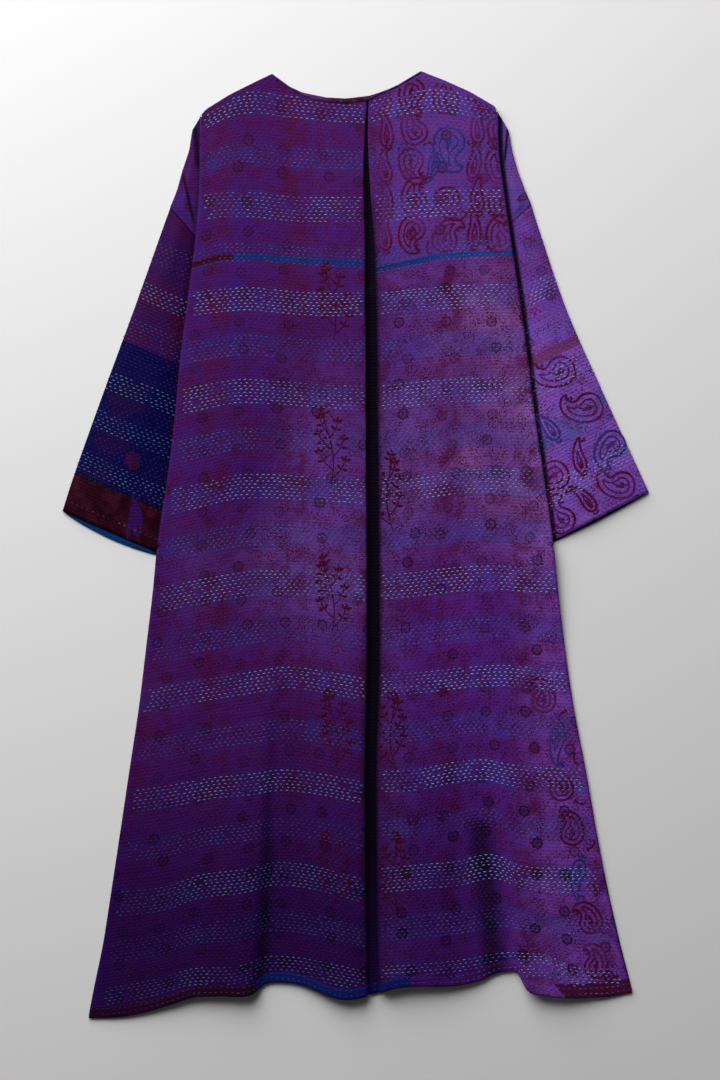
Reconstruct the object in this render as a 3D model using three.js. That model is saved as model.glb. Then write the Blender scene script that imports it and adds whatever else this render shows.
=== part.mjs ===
// A long open duster coat cut from hand-quilted cloth, laid flat on its fronts with the back on top.
// Millimetres. +X runs across the coat, +Y up towards the neck, +Z up from the surface it lies on.
import * as THREE from "three";

const { lerp, smoothstep } = THREE.MathUtils;

// The cloth and how it stacks
const wall = 1.4; // two layers of silk, stitched together
const gap = 0.4; // air between one wall and the next, and at the seams
const pair = 2 * wall + gap; // a front and a back lying together
const pairStep = pair + gap; // from one folded pair to the next
const pairRadius = pairStep / 2; // at the middle of a pair that turns back on itself
const pairReach = pairRadius + pair / 2; // from the centre of that turn to its outer face
const wallFromMiddle = (wall + gap) / 2; // from the middle of a pair to the middle of one wall
const foldRadius = (wall + gap) / 2; // one wall that turns back on itself
const quiltRise = 0.5; // how far the cloth between two stitched bands stands proud
const easing = 95; // how far beyond a fold the cloth over it takes to come down
const creaseRise = 1; // the small fold in the strip of shoulder beside the body

// The rows run across the coat. Every second one lies in a stitched band.
const shoulderLevel = 522;
const hemLevel = -550.5;
const rowStep = 27.5;
const levels = [shoulderLevel, shoulderLevel - 10];
for (let level = shoulderLevel - rowStep; level > hemLevel - 1; level -= rowStep) levels.push(level);
const rowAt = (level) => levels.findIndex((value) => Math.abs(value - level) < 1);
const foldStartRow = 1; // the folds beside the armholes start one row under the shoulder point
const foldEndRow = rowAt(-0.5); // and run down to the cuffs

// Where the two fronts meet
const frontGap = 4;
const centreFront = -4;

// The visible side edge of the body, from the shoulder point to the hem
const sideEdge = [
  { y: -578, left: -326, right: 345 },
  { y: -547, left: -320, right: 338 },
  { y: -494, left: -309, right: 324 },
  { y: -421, left: -298, right: 308 },
  { y: -348, left: -287, right: 294 },
  { y: -274, left: -276, right: 281 },
  { y: -201, left: -265, right: 267 },
  { y: -128, left: -256, right: 256 },
  { y: -55, left: -247, right: 247 },
  { y: 6, left: -241, right: 241 },
  { y: 85, left: -229, right: 230 },
  { y: 152, left: -221, right: 220 },
  { y: 226, left: -214, right: 211 },
  { y: 299, left: -205, right: 201 },
  { y: 378, left: -195, right: 189 },
  { y: 433, left: -191, right: 181 },
  { y: 482, left: -190, right: 175 },
  { y: 528, left: -190, right: 174 },
];

// The drop shoulder's outer edge, and below it the armhole seam, which runs in under the body
const armEdge = {
  left: [
    { y: 274.5, x: -107 },
    { y: 412, x: -226.5 },
    { y: 433, x: -218 },
    { y: 457, x: -211.5 },
    { y: 482, x: -203 },
    { y: 506, x: -199.5 },
    { y: 522, x: -190 },
  ],
  right: [
    { y: 302, x: 85 },
    { y: 415, x: 215 },
    { y: 433, x: 207 },
    { y: 457, x: 198 },
    { y: 482, x: 191 },
    { y: 506, x: 187 },
    { y: 528, x: 174 },
  ],
};

// Shoulder seams and back neck
const backTop = [
  { x: -190, y: 522 },
  { x: -182, y: 531 },
  { x: -153, y: 549 },
  { x: -124, y: 564 },
  { x: -102, y: 575 },
  { x: -80, y: 559 },
  { x: -65, y: 552 },
  { x: -36, y: 545.5 },
  { x: -11, y: 544 },
  { x: 17, y: 547.5 },
  { x: 37, y: 554 },
  { x: 52, y: 561 },
  { x: 66, y: 569.5 },
  { x: 80, y: 578 },
  { x: 110, y: 566 },
  { x: 140, y: 552 },
  { x: 169, y: 535 },
  { x: 174, y: 528 },
];
const neckPoint = { left: backTop[4], right: backTop[13] };
const frontNeckDepth = 400; // the height of the foot of the front V neck

// The back hem, which draws in where the cloth folds away, and the plainer front hem above it
const backHem = [
  { x: -326, y: -578 },
  { x: -285, y: -576 },
  { x: -255, y: -570 },
  { x: -226, y: -561 },
  { x: -197, y: -551.5 },
  { x: -168, y: -549.5 },
  { x: -122, y: -546 },
  { x: -112, y: -537 },
  { x: -84, y: -534.5 },
  { x: -64, y: -537.5 },
  { x: -48, y: -543.5 },
  { x: -32, y: -550 },
  { x: -11, y: -554 },
  { x: 9, y: -551.5 },
  { x: 30, y: -545.5 },
  { x: 54, y: -539 },
  { x: 125, y: -537 },
  { x: 154, y: -531 },
  { x: 169, y: -524 },
  { x: 184, y: -521 },
  { x: 199, y: -523 },
  { x: 207, y: -540 },
  { x: 230, y: -549 },
  { x: 301, y: -552 },
  { x: 338, y: -546.5 },
];
const frontHem = [
  { x: -326, y: -575 },
  { x: -226, y: -552 },
  { x: -122, y: -528 },
  { x: 0, y: -528 },
  { x: 150, y: -518 },
  { x: 200, y: -514 },
  { x: 338, y: -544 },
];

// The inverted pleat down the back: its two folded edges, and how far they stand above its floor
const pleatLayers = 4 * foldRadius; // the least that the top layer stands above the floor
const pleat = [
  { y: -580, left: 15, right: 30, rise: 8 },
  { y: -433, left: 13, right: 26, rise: 9 },
  { y: -287, left: 12, right: 25, rise: 9.5 },
  { y: -128, left: 14, right: 29, rise: 9.5 },
  { y: 116, left: 13, right: 27.5, rise: 9.5 },
  { y: 360, left: 12, right: 23, rise: 9 },
  { y: 451, left: 10, right: 17, rise: 8 },
  { y: 499, left: 11.6, right: 15, rise: 6 },
  { y: 580, left: 17, right: 17.6, rise: pleatLayers },
];
const pleatDepth = 33; // from a folded edge back to the inner fold
const pleatSpread = 70; // over which the cloth beside the pleat settles

// The flare's folds at the hem. at is measured from the side edge (0) to the centre front (1).
const hemFolds = [
  { side: "left", at: 0.6, rise: 11, outward: 0.5, inward: 0.055, from: -80 },
  { side: "left", at: 0.95, rise: 4, outward: 0.22, inward: 0.12, from: -200 },
  { side: "right", at: 0.7, rise: 8, outward: 0.26, inward: 0.3, from: -150 },
  { side: "right", at: 0.36, rise: 11, outward: 0.33, inward: 0.05, from: -120 },
];
const columns = {
  left: [0, 0.06, 0.14, 0.24, 0.36, 0.473, 0.55, 0.6, 0.63, 0.655, 0.72, 0.8, 0.88],
  right: [0, 0.06, 0.14, 0.24, 0.31, 0.36, 0.385, 0.41, 0.47, 0.528, 0.62, 0.72, 0.82],
};
const frontColumns = [0, 0.06, 0.14, 0.24, 0.36, 0.473, 0.6, 0.72, 0.86, 1];

// The sleeves, flat tubes that start at the armhole seam and pass in under the body
const sleeve = {
  left: {
    outer: [
      { x: -226.5, y: 412 },
      { x: -238, y: 380 },
      { x: -271, y: 287 },
      { x: -307, y: 189 },
      { x: -342, y: 91 },
      { x: -358, y: 41.5 },
    ],
    inner: [{ x: -107, y: 274.5 }, { x: -184, y: -34 }],
    lip: 6, // how far the under layer shows past the cuff
  },
  right: {
    outer: [
      { x: 215, y: 415 },
      { x: 226, y: 380 },
      { x: 258, y: 287 },
      { x: 301, y: 189 },
      { x: 346, y: 91 },
      { x: 358, y: 64.5 },
    ],
    inner: [{ x: 85, y: 302 }, { x: 190, y: -21 }],
    lip: 3,
  },
};
const sleeveStations = 14;
const sleeveSeen = 6; // steps across the part that shows
const sleeveUnder = 3; // steps across the part under the body
const sleeveLoft = 5; // how far the top of a sleeve stands above its flat under layer
const armholeRow = { left: rowAt(274.5), right: rowAt(302) };

const bindingWidth = 5.5;
const bindingWall = 1;

// Reads a table by straight lines between its rows
function read(table, key, at, column) {
  let row = 1;
  while (row < table.length - 1 && table[row][key] < at) row += 1;
  const low = table[row - 1];
  const high = table[row];
  const share = Math.min(Math.max((at - low[key]) / (high[key] - low[key]), 0), 1);
  return lerp(low[column], high[column], share);
}

// One side of the coat at one row: the side edge, and the folds that the arm draws in under it
const outwards = { left: -1, right: 1 };
const corner = {
  left: { top: 522, hem: -578 },
  right: { top: 528, hem: -546.5 },
};
const edgeShare = (level) => smoothstep(level, 300, shoulderLevel);
const hemShare = (level) => 1 - smoothstep(level, hemLevel, hemLevel + 170);

function sideAt(side, row) {
  const level = levels[row];
  const { top, hem } = corner[side];
  const y = level + edgeShare(level) * (top - shoulderLevel) + hemShare(level) * (hem - hemLevel);
  return { side, row, y, edge: read(sideEdge, "y", y, side), ...foldsAt(side, y) };
}

// How far the pair turned back under the edge reaches, and how far the arm beneath it does
function foldsAt(side, y) {
  const edge = read(sideEdge, "y", y, side);
  const [underarm, cuff] = sleeve[side].inner;
  const inwards = -outwards[side];
  const turned = (underarm.x - edgeAt(side, underarm.y)) * inwards + 6;
  const foot = levels[foldEndRow];
  if (y >= underarm.y) {
    const share = (corner[side].top - y) / (corner[side].top - underarm.y);
    const depth = Math.max(turned * share, 2 * pairReach + gap);
    return { depth, armDepth: depth, edge };
  }
  const depth = Math.max(lerp(turned, 10, Math.min((underarm.y - y) / (underarm.y - foot), 1)), 10);
  const share = Math.min((underarm.y - y) / (underarm.y - cuff.y), 1);
  return { depth, armDepth: (lerp(underarm.x, cuff.x, share) - edge) * inwards, edge };
}

function edgeAt(side, y) {
  return read(sideEdge, "y", y, side);
}

// The middle of the front-and-back pair above the surface: it rides over the folds and the arm
function middle(x, y) {
  let height = pair / 2;
  for (const side of ["left", "right"]) {
    const { edge, depth, armDepth } = foldsAt(side, y);
    const inset = (edge - x) * outwards[side];
    const foldFade = smoothstep(y, levels[foldEndRow] - 170, levels[foldEndRow]);
    const armFade = smoothstep(y, sleeve[side].inner[1].y - 150, sleeve[side].inner[1].y);
    height += pairStep * foldFade * (1 - smoothstep(inset, depth + 8, depth + easing));
    height += pairStep * armFade * (1 - smoothstep(inset, armDepth + 8, armDepth + easing));
  }
  return height;
}

// How far the back stands above its lowest place: air, the pleat's lift and the folds of the flare
const sideOf = (x) => (x < read(pleat, "y", 0, "left") + 8 ? "left" : "right");

function backLoft(x, y) {
  const side = sideOf(x);
  return 1.2 * smoothstep((edgeAt(side, y) - x) * outwards[side], 0, 60);
}

function backLift(x, y) {
  const side = sideOf(x);
  const edge = edgeAt(side, y);
  const inset = (edge - x) * outwards[side];
  const fromPleat = (x - read(pleat, "y", y, side)) * outwards[side];
  const overFolds = 1 - smoothstep(fromPleat, pleatDepth + 4, pleatDepth + pleatSpread);
  const proud = read(pleat, "y", y, "rise") - pleatLayers;
  let lift = pleatLayers * overFolds + proud * (1 - smoothstep(fromPleat, 0, pleatSpread));
  const across = (x - edge) / (centreFront - edge);
  for (const fold of hemFolds) {
    if (fold.side !== side) continue;
    const width = across < fold.at ? fold.outward : fold.inward;
    const away = Math.min(Math.abs(across - fold.at) / width, 1);
    const fade = 1 - smoothstep(y, hemLevel + 40, fold.from);
    lift += fold.rise * fade * (0.5 + 0.5 * Math.cos(Math.PI * away)) * smoothstep(inset, 0, 30);
  }
  return backLoft(x, y) + lift;
}

// A point of a section: where the middle of the wall runs, and which way its outer face looks
const point = (x, z, nx = 0, nz = 1) => ({ x, z, nx, nz });

function arc(centreX, centreZ, radius, fromDegrees, toDegrees, steps, facing) {
  const points = [];
  for (let step = 1; step <= steps; step += 1) {
    const angle = THREE.MathUtils.degToRad(lerp(fromDegrees, toDegrees, step / steps));
    const nx = Math.cos(angle);
    const nz = Math.sin(angle);
    points.push(point(centreX + radius * nx, centreZ + radius * nz, facing * nx, facing * nz));
  }
  return points;
}

// The pair folded in under the side edge and out again to the arm. offset is + for the back, - for the front.
function sideFold(side, offset) {
  const turn = outwards[side.side];
  const floor = pair / 2;
  const edgeCentre = side.edge - turn * pairReach;
  const inner = side.edge - turn * side.depth;
  const sweep = (degrees) => (turn > 0 ? degrees : 180 - degrees);
  const returnZ = floor + pairStep;
  const reversed = side.row <= armholeRow[side.side];
  const innerCentre = reversed ? inner + turn * pairReach : inner;
  const arm = read(armEdge[side.side], "y", side.y, "x");
  const points = [
    ...arc(edgeCentre, floor + 1.5 * pairStep, pairRadius + offset, sweep(90), sweep(-90), 3, 1),
    point(lerp(edgeCentre, innerCentre, 0.5), returnZ - offset, 0, -1),
    point(innerCentre, returnZ - offset, 0, -1),
    ...arc(innerCentre, floor + pairRadius, pairRadius - offset, sweep(90), sweep(270), 3, -1),
  ];
  const strip = (arm - side.edge) * turn;
  const underEdge = Math.max(strip / Math.abs(arm - innerCentre), 0.3);
  const crease = offset > 0 ? creaseRise * smoothstep(strip, 12, 30) : 0;
  points.push(point(lerp(arm, innerCentre, underEdge), floor + offset));
  points.push(point(lerp(arm, innerCentre, 0.45 * underEdge), floor + offset + crease));
  points.push(point(arm, floor + offset));
  return points;
}
const tailToArm = 5; // columns of the fold before the one that turns out to the arm
const tailLength = 11;

// Half of the pleat, from its floor out to its folded edge, drawn as a walk with turns
function pleatHalf(side, rise, edge) {
  const turn = outwards[side];
  const slope = Math.asin((rise - pleatLayers) / pleatDepth);
  const points = [];
  const place = { x: 0, z: 0, heading: Math.PI };
  const add = () => {
    const side = place.heading - Math.PI / 2;
    points.push(point(place.x, place.z, Math.cos(side), Math.sin(side)));
  };
  const forward = (length) => {
    place.x += length * Math.cos(place.heading);
    place.z += length * Math.sin(place.heading);
    add();
  };
  const bend = (angle) => {
    const steps = 3;
    const chord = 2 * foldRadius * Math.sin(Math.abs(angle) / steps / 2);
    for (let step = 0; step < steps; step += 1) {
      place.heading += angle / steps / 2;
      place.x += chord * Math.cos(place.heading);
      place.z += chord * Math.sin(place.heading);
      place.heading += angle / steps / 2;
      add();
    }
  };
  add();
  bend(-(Math.PI - slope));
  forward(pleatDepth / 2);
  forward(pleatDepth / 2);
  bend(Math.PI - slope);
  const shift = edge * -turn - wall / 2 - Math.max(...points.map((p) => p.x));
  return points.map((p) => point((p.x + shift) * -turn, p.z, p.nx * -turn, p.nz));
}

// Gives the plain points of a section the direction across the line through their neighbours
function faceAcross(points, from, to) {
  for (let index = from; index <= to; index += 1) {
    const before = points[Math.max(index - 1, 0)];
    const after = points[Math.min(index + 1, points.length - 1)];
    const length = Math.hypot(after.x - before.x, after.z - before.z);
    points[index].nx = -(after.z - before.z) / length;
    points[index].nz = (after.x - before.x) / length;
  }
}

// Where the body's panel starts at the side: at the edge itself, or where the edge starts to turn under
const startAt = (side) => {
  const folded = side.row >= foldStartRow && side.row <= foldEndRow;
  return side.edge - outwards[side.side] * (folded ? pairReach : 0);
};

function bodyColumns(side, shares, centre) {
  const start = startAt(side);
  return shares.map((share) => (share === 0 ? start : lerp(side.edge, centre, share)));
}

// The height on the coat of a panel's point in a row, between its hem and its top edge
function heightAt(side, x, top, hem, topShare) {
  const level = levels[side.row];
  const { top: cornerTop, hem: cornerHem } = corner[side.side];
  const atSide = edgeShare(level) * (cornerTop - shoulderLevel) + hemShare(level) * (cornerHem - hemLevel);
  const atTop = topShare(level) * (read(top, "x", x, "y") - cornerTop);
  const atHem = hemShare(level) * (read(hem, "x", x, "y") - cornerHem);
  return level + atSide + atTop + atHem;
}

// Turns rows of section points into a closed wall. shown(row, column) says which cells hold cloth.
function clothWall(rows, thickness, shown = () => true, rise = () => 0) {
  const width = rows[0].length;
  const positions = [];
  rows.forEach((row, i) =>
    row.forEach((p, j) => {
      const out = thickness / 2 + rise(i, j);
      positions.push(p.x + p.nx * out, p.y, p.z + p.nz * out);
      positions.push(p.x - (p.nx * thickness) / 2, p.y, p.z - (p.nz * thickness) / 2);
    }),
  );
  const outer = (i, j) => 2 * (i * width + j);
  const inner = (i, j) => outer(i, j) + 1;
  const holds = (i, j) => i >= 0 && j >= 0 && i < rows.length - 1 && j < width - 1 && shown(i, j);
  const index = [];
  const quad = (a, b, c, d) => index.push(a, b, c, a, c, d);
  for (let i = 0; i < rows.length - 1; i += 1) {
    for (let j = 0; j < width - 1; j += 1) {
      if (!holds(i, j)) continue;
      quad(outer(i, j), outer(i + 1, j), outer(i + 1, j + 1), outer(i, j + 1));
      quad(inner(i, j), inner(i, j + 1), inner(i + 1, j + 1), inner(i + 1, j));
      if (!holds(i - 1, j)) quad(outer(i, j), outer(i, j + 1), inner(i, j + 1), inner(i, j));
      if (!holds(i + 1, j)) quad(outer(i + 1, j + 1), outer(i + 1, j), inner(i + 1, j), inner(i + 1, j + 1));
      if (!holds(i, j - 1)) quad(outer(i + 1, j), outer(i, j), inner(i, j), inner(i + 1, j));
      if (!holds(i, j + 1)) quad(outer(i, j + 1), outer(i + 1, j + 1), inner(i + 1, j + 1), inner(i, j + 1));
    }
  }
  return closed(positions, index);
}

// A geometry with its faces turned outwards
function closed(positions, index) {
  const corners = [new THREE.Vector3(), new THREE.Vector3(), new THREE.Vector3()];
  let volume = 0;
  for (let face = 0; face < index.length; face += 3) {
    corners.forEach((vertex, k) => vertex.fromArray(positions, 3 * index[face + k]));
    volume += corners[0].dot(corners[1].clone().cross(corners[2]));
  }
  const turned = volume < 0 ? [...index].reverse() : index;
  const geometry = new THREE.BufferGeometry();
  geometry.setAttribute("position", new THREE.Float32BufferAttribute(positions, 3));
  geometry.setIndex(turned);
  return geometry;
}

// The back: one piece of cloth from armhole to armhole, through the folds and the pleat
function backSection(row) {
  const left = sideAt("left", row);
  const right = sideAt("right", row);
  const height = (side, x) => heightAt(side, x, backTop, backHem, edgeShare);
  const body = (side) =>
    bodyColumns(side, columns[side.side], centreFront).map((x) => {
      const y = height(side, x);
      return { ...point(x, middle(x, y) + wallFromMiddle + backLift(x, y)), y };
    });
  const lay = (side, p) => {
    const y = height(side, p.x);
    return { ...p, y, z: p.z + middle(p.x, y) + wallFromMiddle + backLoft(p.x, y) };
  };
  const halfPleat = (side) => {
    const y = height(side, read(pleat, "y", side.y, side.side));
    const half = pleatHalf(side.side, read(pleat, "y", y, "rise"), read(pleat, "y", y, side.side));
    return half.map((p) => lay(side, p));
  };
  const pleatLeft = halfPleat(left).reverse();
  const pleatRight = halfPleat(right);
  const floor = lay(left, point((pleatLeft.at(-1).x + pleatRight[0].x) / 2, 0));
  const tail = (side) => sideFold(side, wallFromMiddle).map((p) => ({ ...p, y: side.y }));
  const leftTail = tail(left).reverse();
  const leftBody = body(left);
  const rightBody = body(right).reverse();
  const rightTail = tail(right);
  const section = [...leftTail, ...leftBody, ...pleatLeft, floor, ...pleatRight, ...rightBody, ...rightTail];
  const firstBody = leftTail.length;
  const lastBody = section.length - 1 - tailLength;
  faceAcross(section, firstBody + 1, firstBody + leftBody.length - 1);
  faceAcross(section, lastBody - rightBody.length + 1, lastBody - 1);
  return section;
}

// Which cells of the fold beside a side hold cloth. column counts outwards from the body's edge.
function foldShown(side, row, column) {
  if (row < foldStartRow || row >= foldEndRow) return false;
  return column < tailToArm || row < armholeRow[side];
}

function backPanel() {
  const rows = levels.map((_, row) => backSection(row));
  const last = rows[0].length - 1;
  const shown = (row, column) => {
    if (column < tailLength) return foldShown("left", row, tailLength - 1 - column);
    if (column >= last - tailLength) return foldShown("right", row, column - (last - tailLength));
    return true;
  };
  const bodyOnly = (column) => column > tailLength && column < last - tailLength;
  const inPleat = (column) => Math.abs(column - last / 2) < 9;
  const rise = (row, column) => {
    const proud = row > 1 && row < rows.length - 1 && row % 2 === 0;
    return proud && bodyOnly(column) && !inPleat(column) ? quiltRise : 0;
  };
  return clothWall(rows, wall, shown, rise);
}

// A front: from the armhole to the centre edge, with its V neck and its plain hem
function frontSection(name, row) {
  const side = sideAt(name, row);
  const centre = centreFront + (outwards[name] * frontGap) / 2;
  const neck = neckPoint[name];
  const corners = backTop.filter((p) => (p.x - neck.x) * outwards[name] >= 0);
  const top = [...corners, { x: centre, y: frontNeckDepth }].sort((a, b) => a.x - b.x);
  const topShare = (level) => smoothstep(level, 200, shoulderLevel);
  const body = bodyColumns(side, frontColumns, centre).map((x) => {
    const y = heightAt(side, x, top, frontHem, topShare);
    return { ...point(x, middle(x, y) - wallFromMiddle), y };
  });
  const section = [...body.reverse(), ...sideFold(side, -wallFromMiddle).map((p) => ({ ...p, y: side.y }))];
  if (name === "right") return section;
  return section.reverse();
}

function frontPanel(name) {
  const lastRow = levels.length - 1;
  const kept = (row) => row <= foldEndRow || row === lastRow || (row - foldEndRow) % 2 === 0;
  const sparse = levels.map((_, row) => row).filter(kept);
  const rows = sparse.map((row) => frontSection(name, row));
  const last = rows[0].length - 1;
  const bodyCells = frontColumns.length - 1;
  const shown = (index, column) => {
    const fromCentre = name === "right" ? column : last - 1 - column;
    return fromCentre < bodyCells || foldShown(name, sparse[index], fromCentre - bodyCells);
  };
  return clothWall(rows, wall, shown);
}

// A sleeve: a flat tube whose rings run from its outer fold to the underarm seam
function sleeveRing(name, share, inset) {
  const { outer, inner, lip } = sleeve[name];
  const curve = new THREE.CatmullRomCurve3(outer.map((p) => new THREE.Vector3(p.x, p.y, 0)));
  const seam = new THREE.Vector3(outwards[name] * gap, -gap, 0).multiplyScalar(1 - share);
  const from = curve.getPointAt(share).add(seam);
  const [underarm, cuff] = inner.map((p) => new THREE.Vector3(p.x, p.y, 0));
  const to = underarm.lerp(cuff, share).add(seam);
  const across = to.clone().sub(from).normalize();
  const down = new THREE.Vector3(across.y, -across.x, 0).multiplyScalar(outwards[name] * -1);
  const radius = pair / 2;
  const start = from.clone().addScaledVector(across, radius);
  const end = to.clone().addScaledVector(across, -radius);
  const hidden = hiddenShare(name, from, to);
  const ring = [];
  const along = (t, z, slip = 0) => {
    const p = start.clone().lerp(end, t).addScaledVector(down, slip);
    ring.push([p.x, p.y, z]);
  };
  const shares = [];
  for (let k = 0; k < sleeveSeen; k += 1) shares.push((hidden * k) / sleeveSeen);
  for (let k = 0; k <= sleeveUnder; k += 1) shares.push(lerp(hidden, 1, k / sleeveUnder));
  const ends = share === 0 || share === 1 ? 0.5 : 1;
  const puff = (t) => (t < hidden ? ends * sleeveLoft * Math.sin((Math.PI * t) / hidden) ** 0.8 : 0);
  const banded = Math.round(share * (sleeveStations - 1)) % 2 && inset === 0 ? quiltRise : 0;
  const slip = (t) => (share === 1 ? lip * Math.sin(Math.PI * Math.min(t / (1.15 * hidden), 1)) ** 0.7 : 0);
  shares.forEach((t) => along(t, inset, slip(t)));
  const tip = to.clone().addScaledVector(across, -inset);
  ring.push([tip.x, tip.y, radius]);
  [...shares].reverse().forEach((t) => along(t, pair - inset + puff(t) + (t < hidden ? banded : 0)));
  const heel = from.clone().addScaledVector(across, inset);
  ring.push([heel.x, heel.y, radius]);
  return ring;
}

// How far across a ring the body's side edge covers it
function hiddenShare(name, from, to) {
  let share = 1;
  for (let step = 0; step <= 100; step += 1) {
    const t = step / 100;
    const x = lerp(from.x, to.x, t);
    const y = lerp(from.y, to.y, t);
    if ((x - edgeAt(name, y)) * outwards[name] < 3) {
      share = t;
      break;
    }
  }
  return Math.max(share, 0.05);
}

function sleeveTube(name) {
  const positions = [];
  const index = [];
  const rings = Array.from({ length: sleeveStations }, (_, k) => k / (sleeveStations - 1));
  const outer = rings.map((share) => sleeveRing(name, share, 0));
  const inner = rings.map((share) => sleeveRing(name, share, wall));
  const around = outer[0].length;
  for (const ring of [...outer, ...inner]) for (const p of ring) positions.push(...p);
  const at = (layer, ring, k) => (layer * sleeveStations + ring) * around + (k % around);
  const quad = (a, b, c, d) => index.push(a, b, c, a, c, d);
  for (let k = 0; k < around; k += 1) {
    for (let ring = 0; ring < sleeveStations - 1; ring += 1) {
      quad(at(0, ring, k), at(0, ring, k + 1), at(0, ring + 1, k + 1), at(0, ring + 1, k));
      quad(at(1, ring, k), at(1, ring + 1, k), at(1, ring + 1, k + 1), at(1, ring, k + 1));
    }
    const last = sleeveStations - 1;
    quad(at(0, 0, k + 1), at(0, 0, k), at(1, 0, k), at(1, 0, k + 1));
    quad(at(0, last, k), at(0, last, k + 1), at(1, last, k + 1), at(1, last, k));
  }
  return closed(positions, index);
}

// The narrow binding on the back neck edge
function neckBinding() {
  const stations = 25;
  const rows = [0, bindingWidth].map((down) =>
    Array.from({ length: stations }, (_, k) => {
      const x = lerp(neckPoint.left.x + 1, neckPoint.right.x - 1, k / (stations - 1));
      const y = read(backTop, "x", x, "y") - down;
      const z = middle(x, y) + wallFromMiddle + backLift(x, y) + wall / 2 + gap + bindingWall / 2 + 0.3;
      return { ...point(x, z), y };
    }),
  );
  return clothWall(rows, bindingWall);
}

// Cloth colours: the violet overdye, the bluer left sleeve and the wine edge of the neck
const finish = (colour) => new THREE.MeshStandardMaterial({ color: colour, roughness: 0.72, metalness: 0 });
const violet = finish(0x4a2a8c);
const blueViolet = finish(0x2b2478);
const wine = finish(0x4a1438);

const coat = new THREE.Group();
function addPiece(name, geometry, material) {
  geometry.computeVertexNormals();
  const mesh = new THREE.Mesh(geometry, material);
  mesh.name = name;
  coat.add(mesh);
}
addPiece("back", backPanel(), violet);
addPiece("front_left", frontPanel("left"), violet);
addPiece("front_right", frontPanel("right"), violet);
addPiece("sleeve_left", sleeveTube("left"), blueViolet);
addPiece("sleeve_right", sleeveTube("right"), violet);
addPiece("neck_binding", neckBinding(), wine);

export default coat;
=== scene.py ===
import math
import bpy
import numpy as np
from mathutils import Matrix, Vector
from mathutils.bvhtree import BVHTree


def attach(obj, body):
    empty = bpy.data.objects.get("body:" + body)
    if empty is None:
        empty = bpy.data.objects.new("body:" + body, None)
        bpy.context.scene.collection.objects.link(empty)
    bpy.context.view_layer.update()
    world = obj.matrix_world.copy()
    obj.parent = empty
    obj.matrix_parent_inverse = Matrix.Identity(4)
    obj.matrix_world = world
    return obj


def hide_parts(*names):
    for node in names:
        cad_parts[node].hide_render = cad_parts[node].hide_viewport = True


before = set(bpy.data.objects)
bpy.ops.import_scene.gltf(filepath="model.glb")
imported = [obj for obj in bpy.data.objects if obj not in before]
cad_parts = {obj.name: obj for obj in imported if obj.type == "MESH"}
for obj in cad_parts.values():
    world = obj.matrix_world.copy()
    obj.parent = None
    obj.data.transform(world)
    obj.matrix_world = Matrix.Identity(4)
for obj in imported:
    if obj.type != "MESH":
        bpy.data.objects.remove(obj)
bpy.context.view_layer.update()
print("frame loaded:", len(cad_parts), "nodes")

mm = 0.001  # everything below is worked out in millimetres and scaled when a mesh is made

# the cloth and how it stacks, as in the frame
cloth = {
    "wall": 1.4,
    "gap": 0.4,
    "shoulder": 522.0,
    "hem": -550.5,
    "foldStart": 521.8,  # the folds beside the arms start and end here
    "foldFoot": -0.5,
    "centreFront": -4.0,
    "frontGap": 4.0,
    "easing": 95.0,
    "crease": 1.0,
}
wall, gap = cloth["wall"], cloth["gap"]
pair = 2 * wall + gap
pairStep = pair + gap
pairRadius = pairStep / 2
pairReach = pairRadius + pair / 2
wallFromMiddle = (wall + gap) / 2
foldRadius = (wall + gap) / 2
pleatLayers = 4 * foldRadius
outwards = {"left": -1, "right": 1}
cornerY = {"left": (522.0, -578.0), "right": (528.0, -546.5)}

# y, left edge, right edge of the body
sideEdge = np.array([
    (-578, -326, 345), (-547, -320, 338), (-494, -309, 324), (-421, -298, 308), (-348, -287, 294),
    (-274, -276, 281), (-201, -265, 267), (-128, -256, 256), (-55, -247, 247), (6, -241, 241),
    (85, -229, 230), (152, -221, 220), (226, -214, 211), (299, -205, 201), (378, -195, 189),
    (433, -191, 181), (482, -190, 175), (528, -190, 174),
], float)
armEdge = {  # y, x of the drop shoulder's edge and of the armhole seam below it
    "left": np.array([
        (274.5, -107), (412, -226.5), (433, -218), (457, -211.5), (482, -203), (506, -199.5), (522, -190),
    ], float),
    "right": np.array([
        (302, 85), (415, 215), (433, 207), (457, 198), (482, 191), (506, 187), (528, 174),
    ], float),
}
backTop = np.array([  # x, y of the shoulder seams and the back neck
    (-190, 522), (-182, 531), (-153, 549), (-124, 564), (-102, 575), (-80, 559), (-65, 552), (-36, 545.5),
    (-11, 544), (17, 547.5), (37, 554), (52, 561), (66, 569.5), (80, 578), (110, 566), (140, 552),
    (169, 535), (174, 528),
], float)
backHem = np.array([
    (-326, -578), (-285, -576), (-255, -570), (-226, -561), (-197, -551.5), (-168, -549.5), (-122, -546),
    (-112, -537), (-84, -534.5), (-64, -537.5), (-48, -543.5), (-32, -550), (-11, -554), (9, -551.5),
    (30, -545.5), (54, -539), (125, -537), (154, -531), (169, -524), (184, -521), (199, -523), (207, -540),
    (230, -549), (301, -552), (338, -546.5),
], float)
frontHem = np.array([
    (-326, -575), (-226, -552), (-122, -528), (0, -528), (150, -518), (200, -514), (338, -544),
], float)
pleatTable = np.array([  # y, left edge, right edge, height above the pleat's floor
    (-580, 15, 30, 8), (-433, 13, 26, 9), (-287, 12, 25, 9.5), (-128, 14, 29, 9.5), (116, 13, 27.5, 9.5),
    (360, 12, 23, 9), (451, 10, 17, 8), (499, 11.6, 15, 6), (580, 17, 17.6, pleatLayers),
], float)
pleat = {"depth": 33.0, "spread": 70.0}
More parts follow.
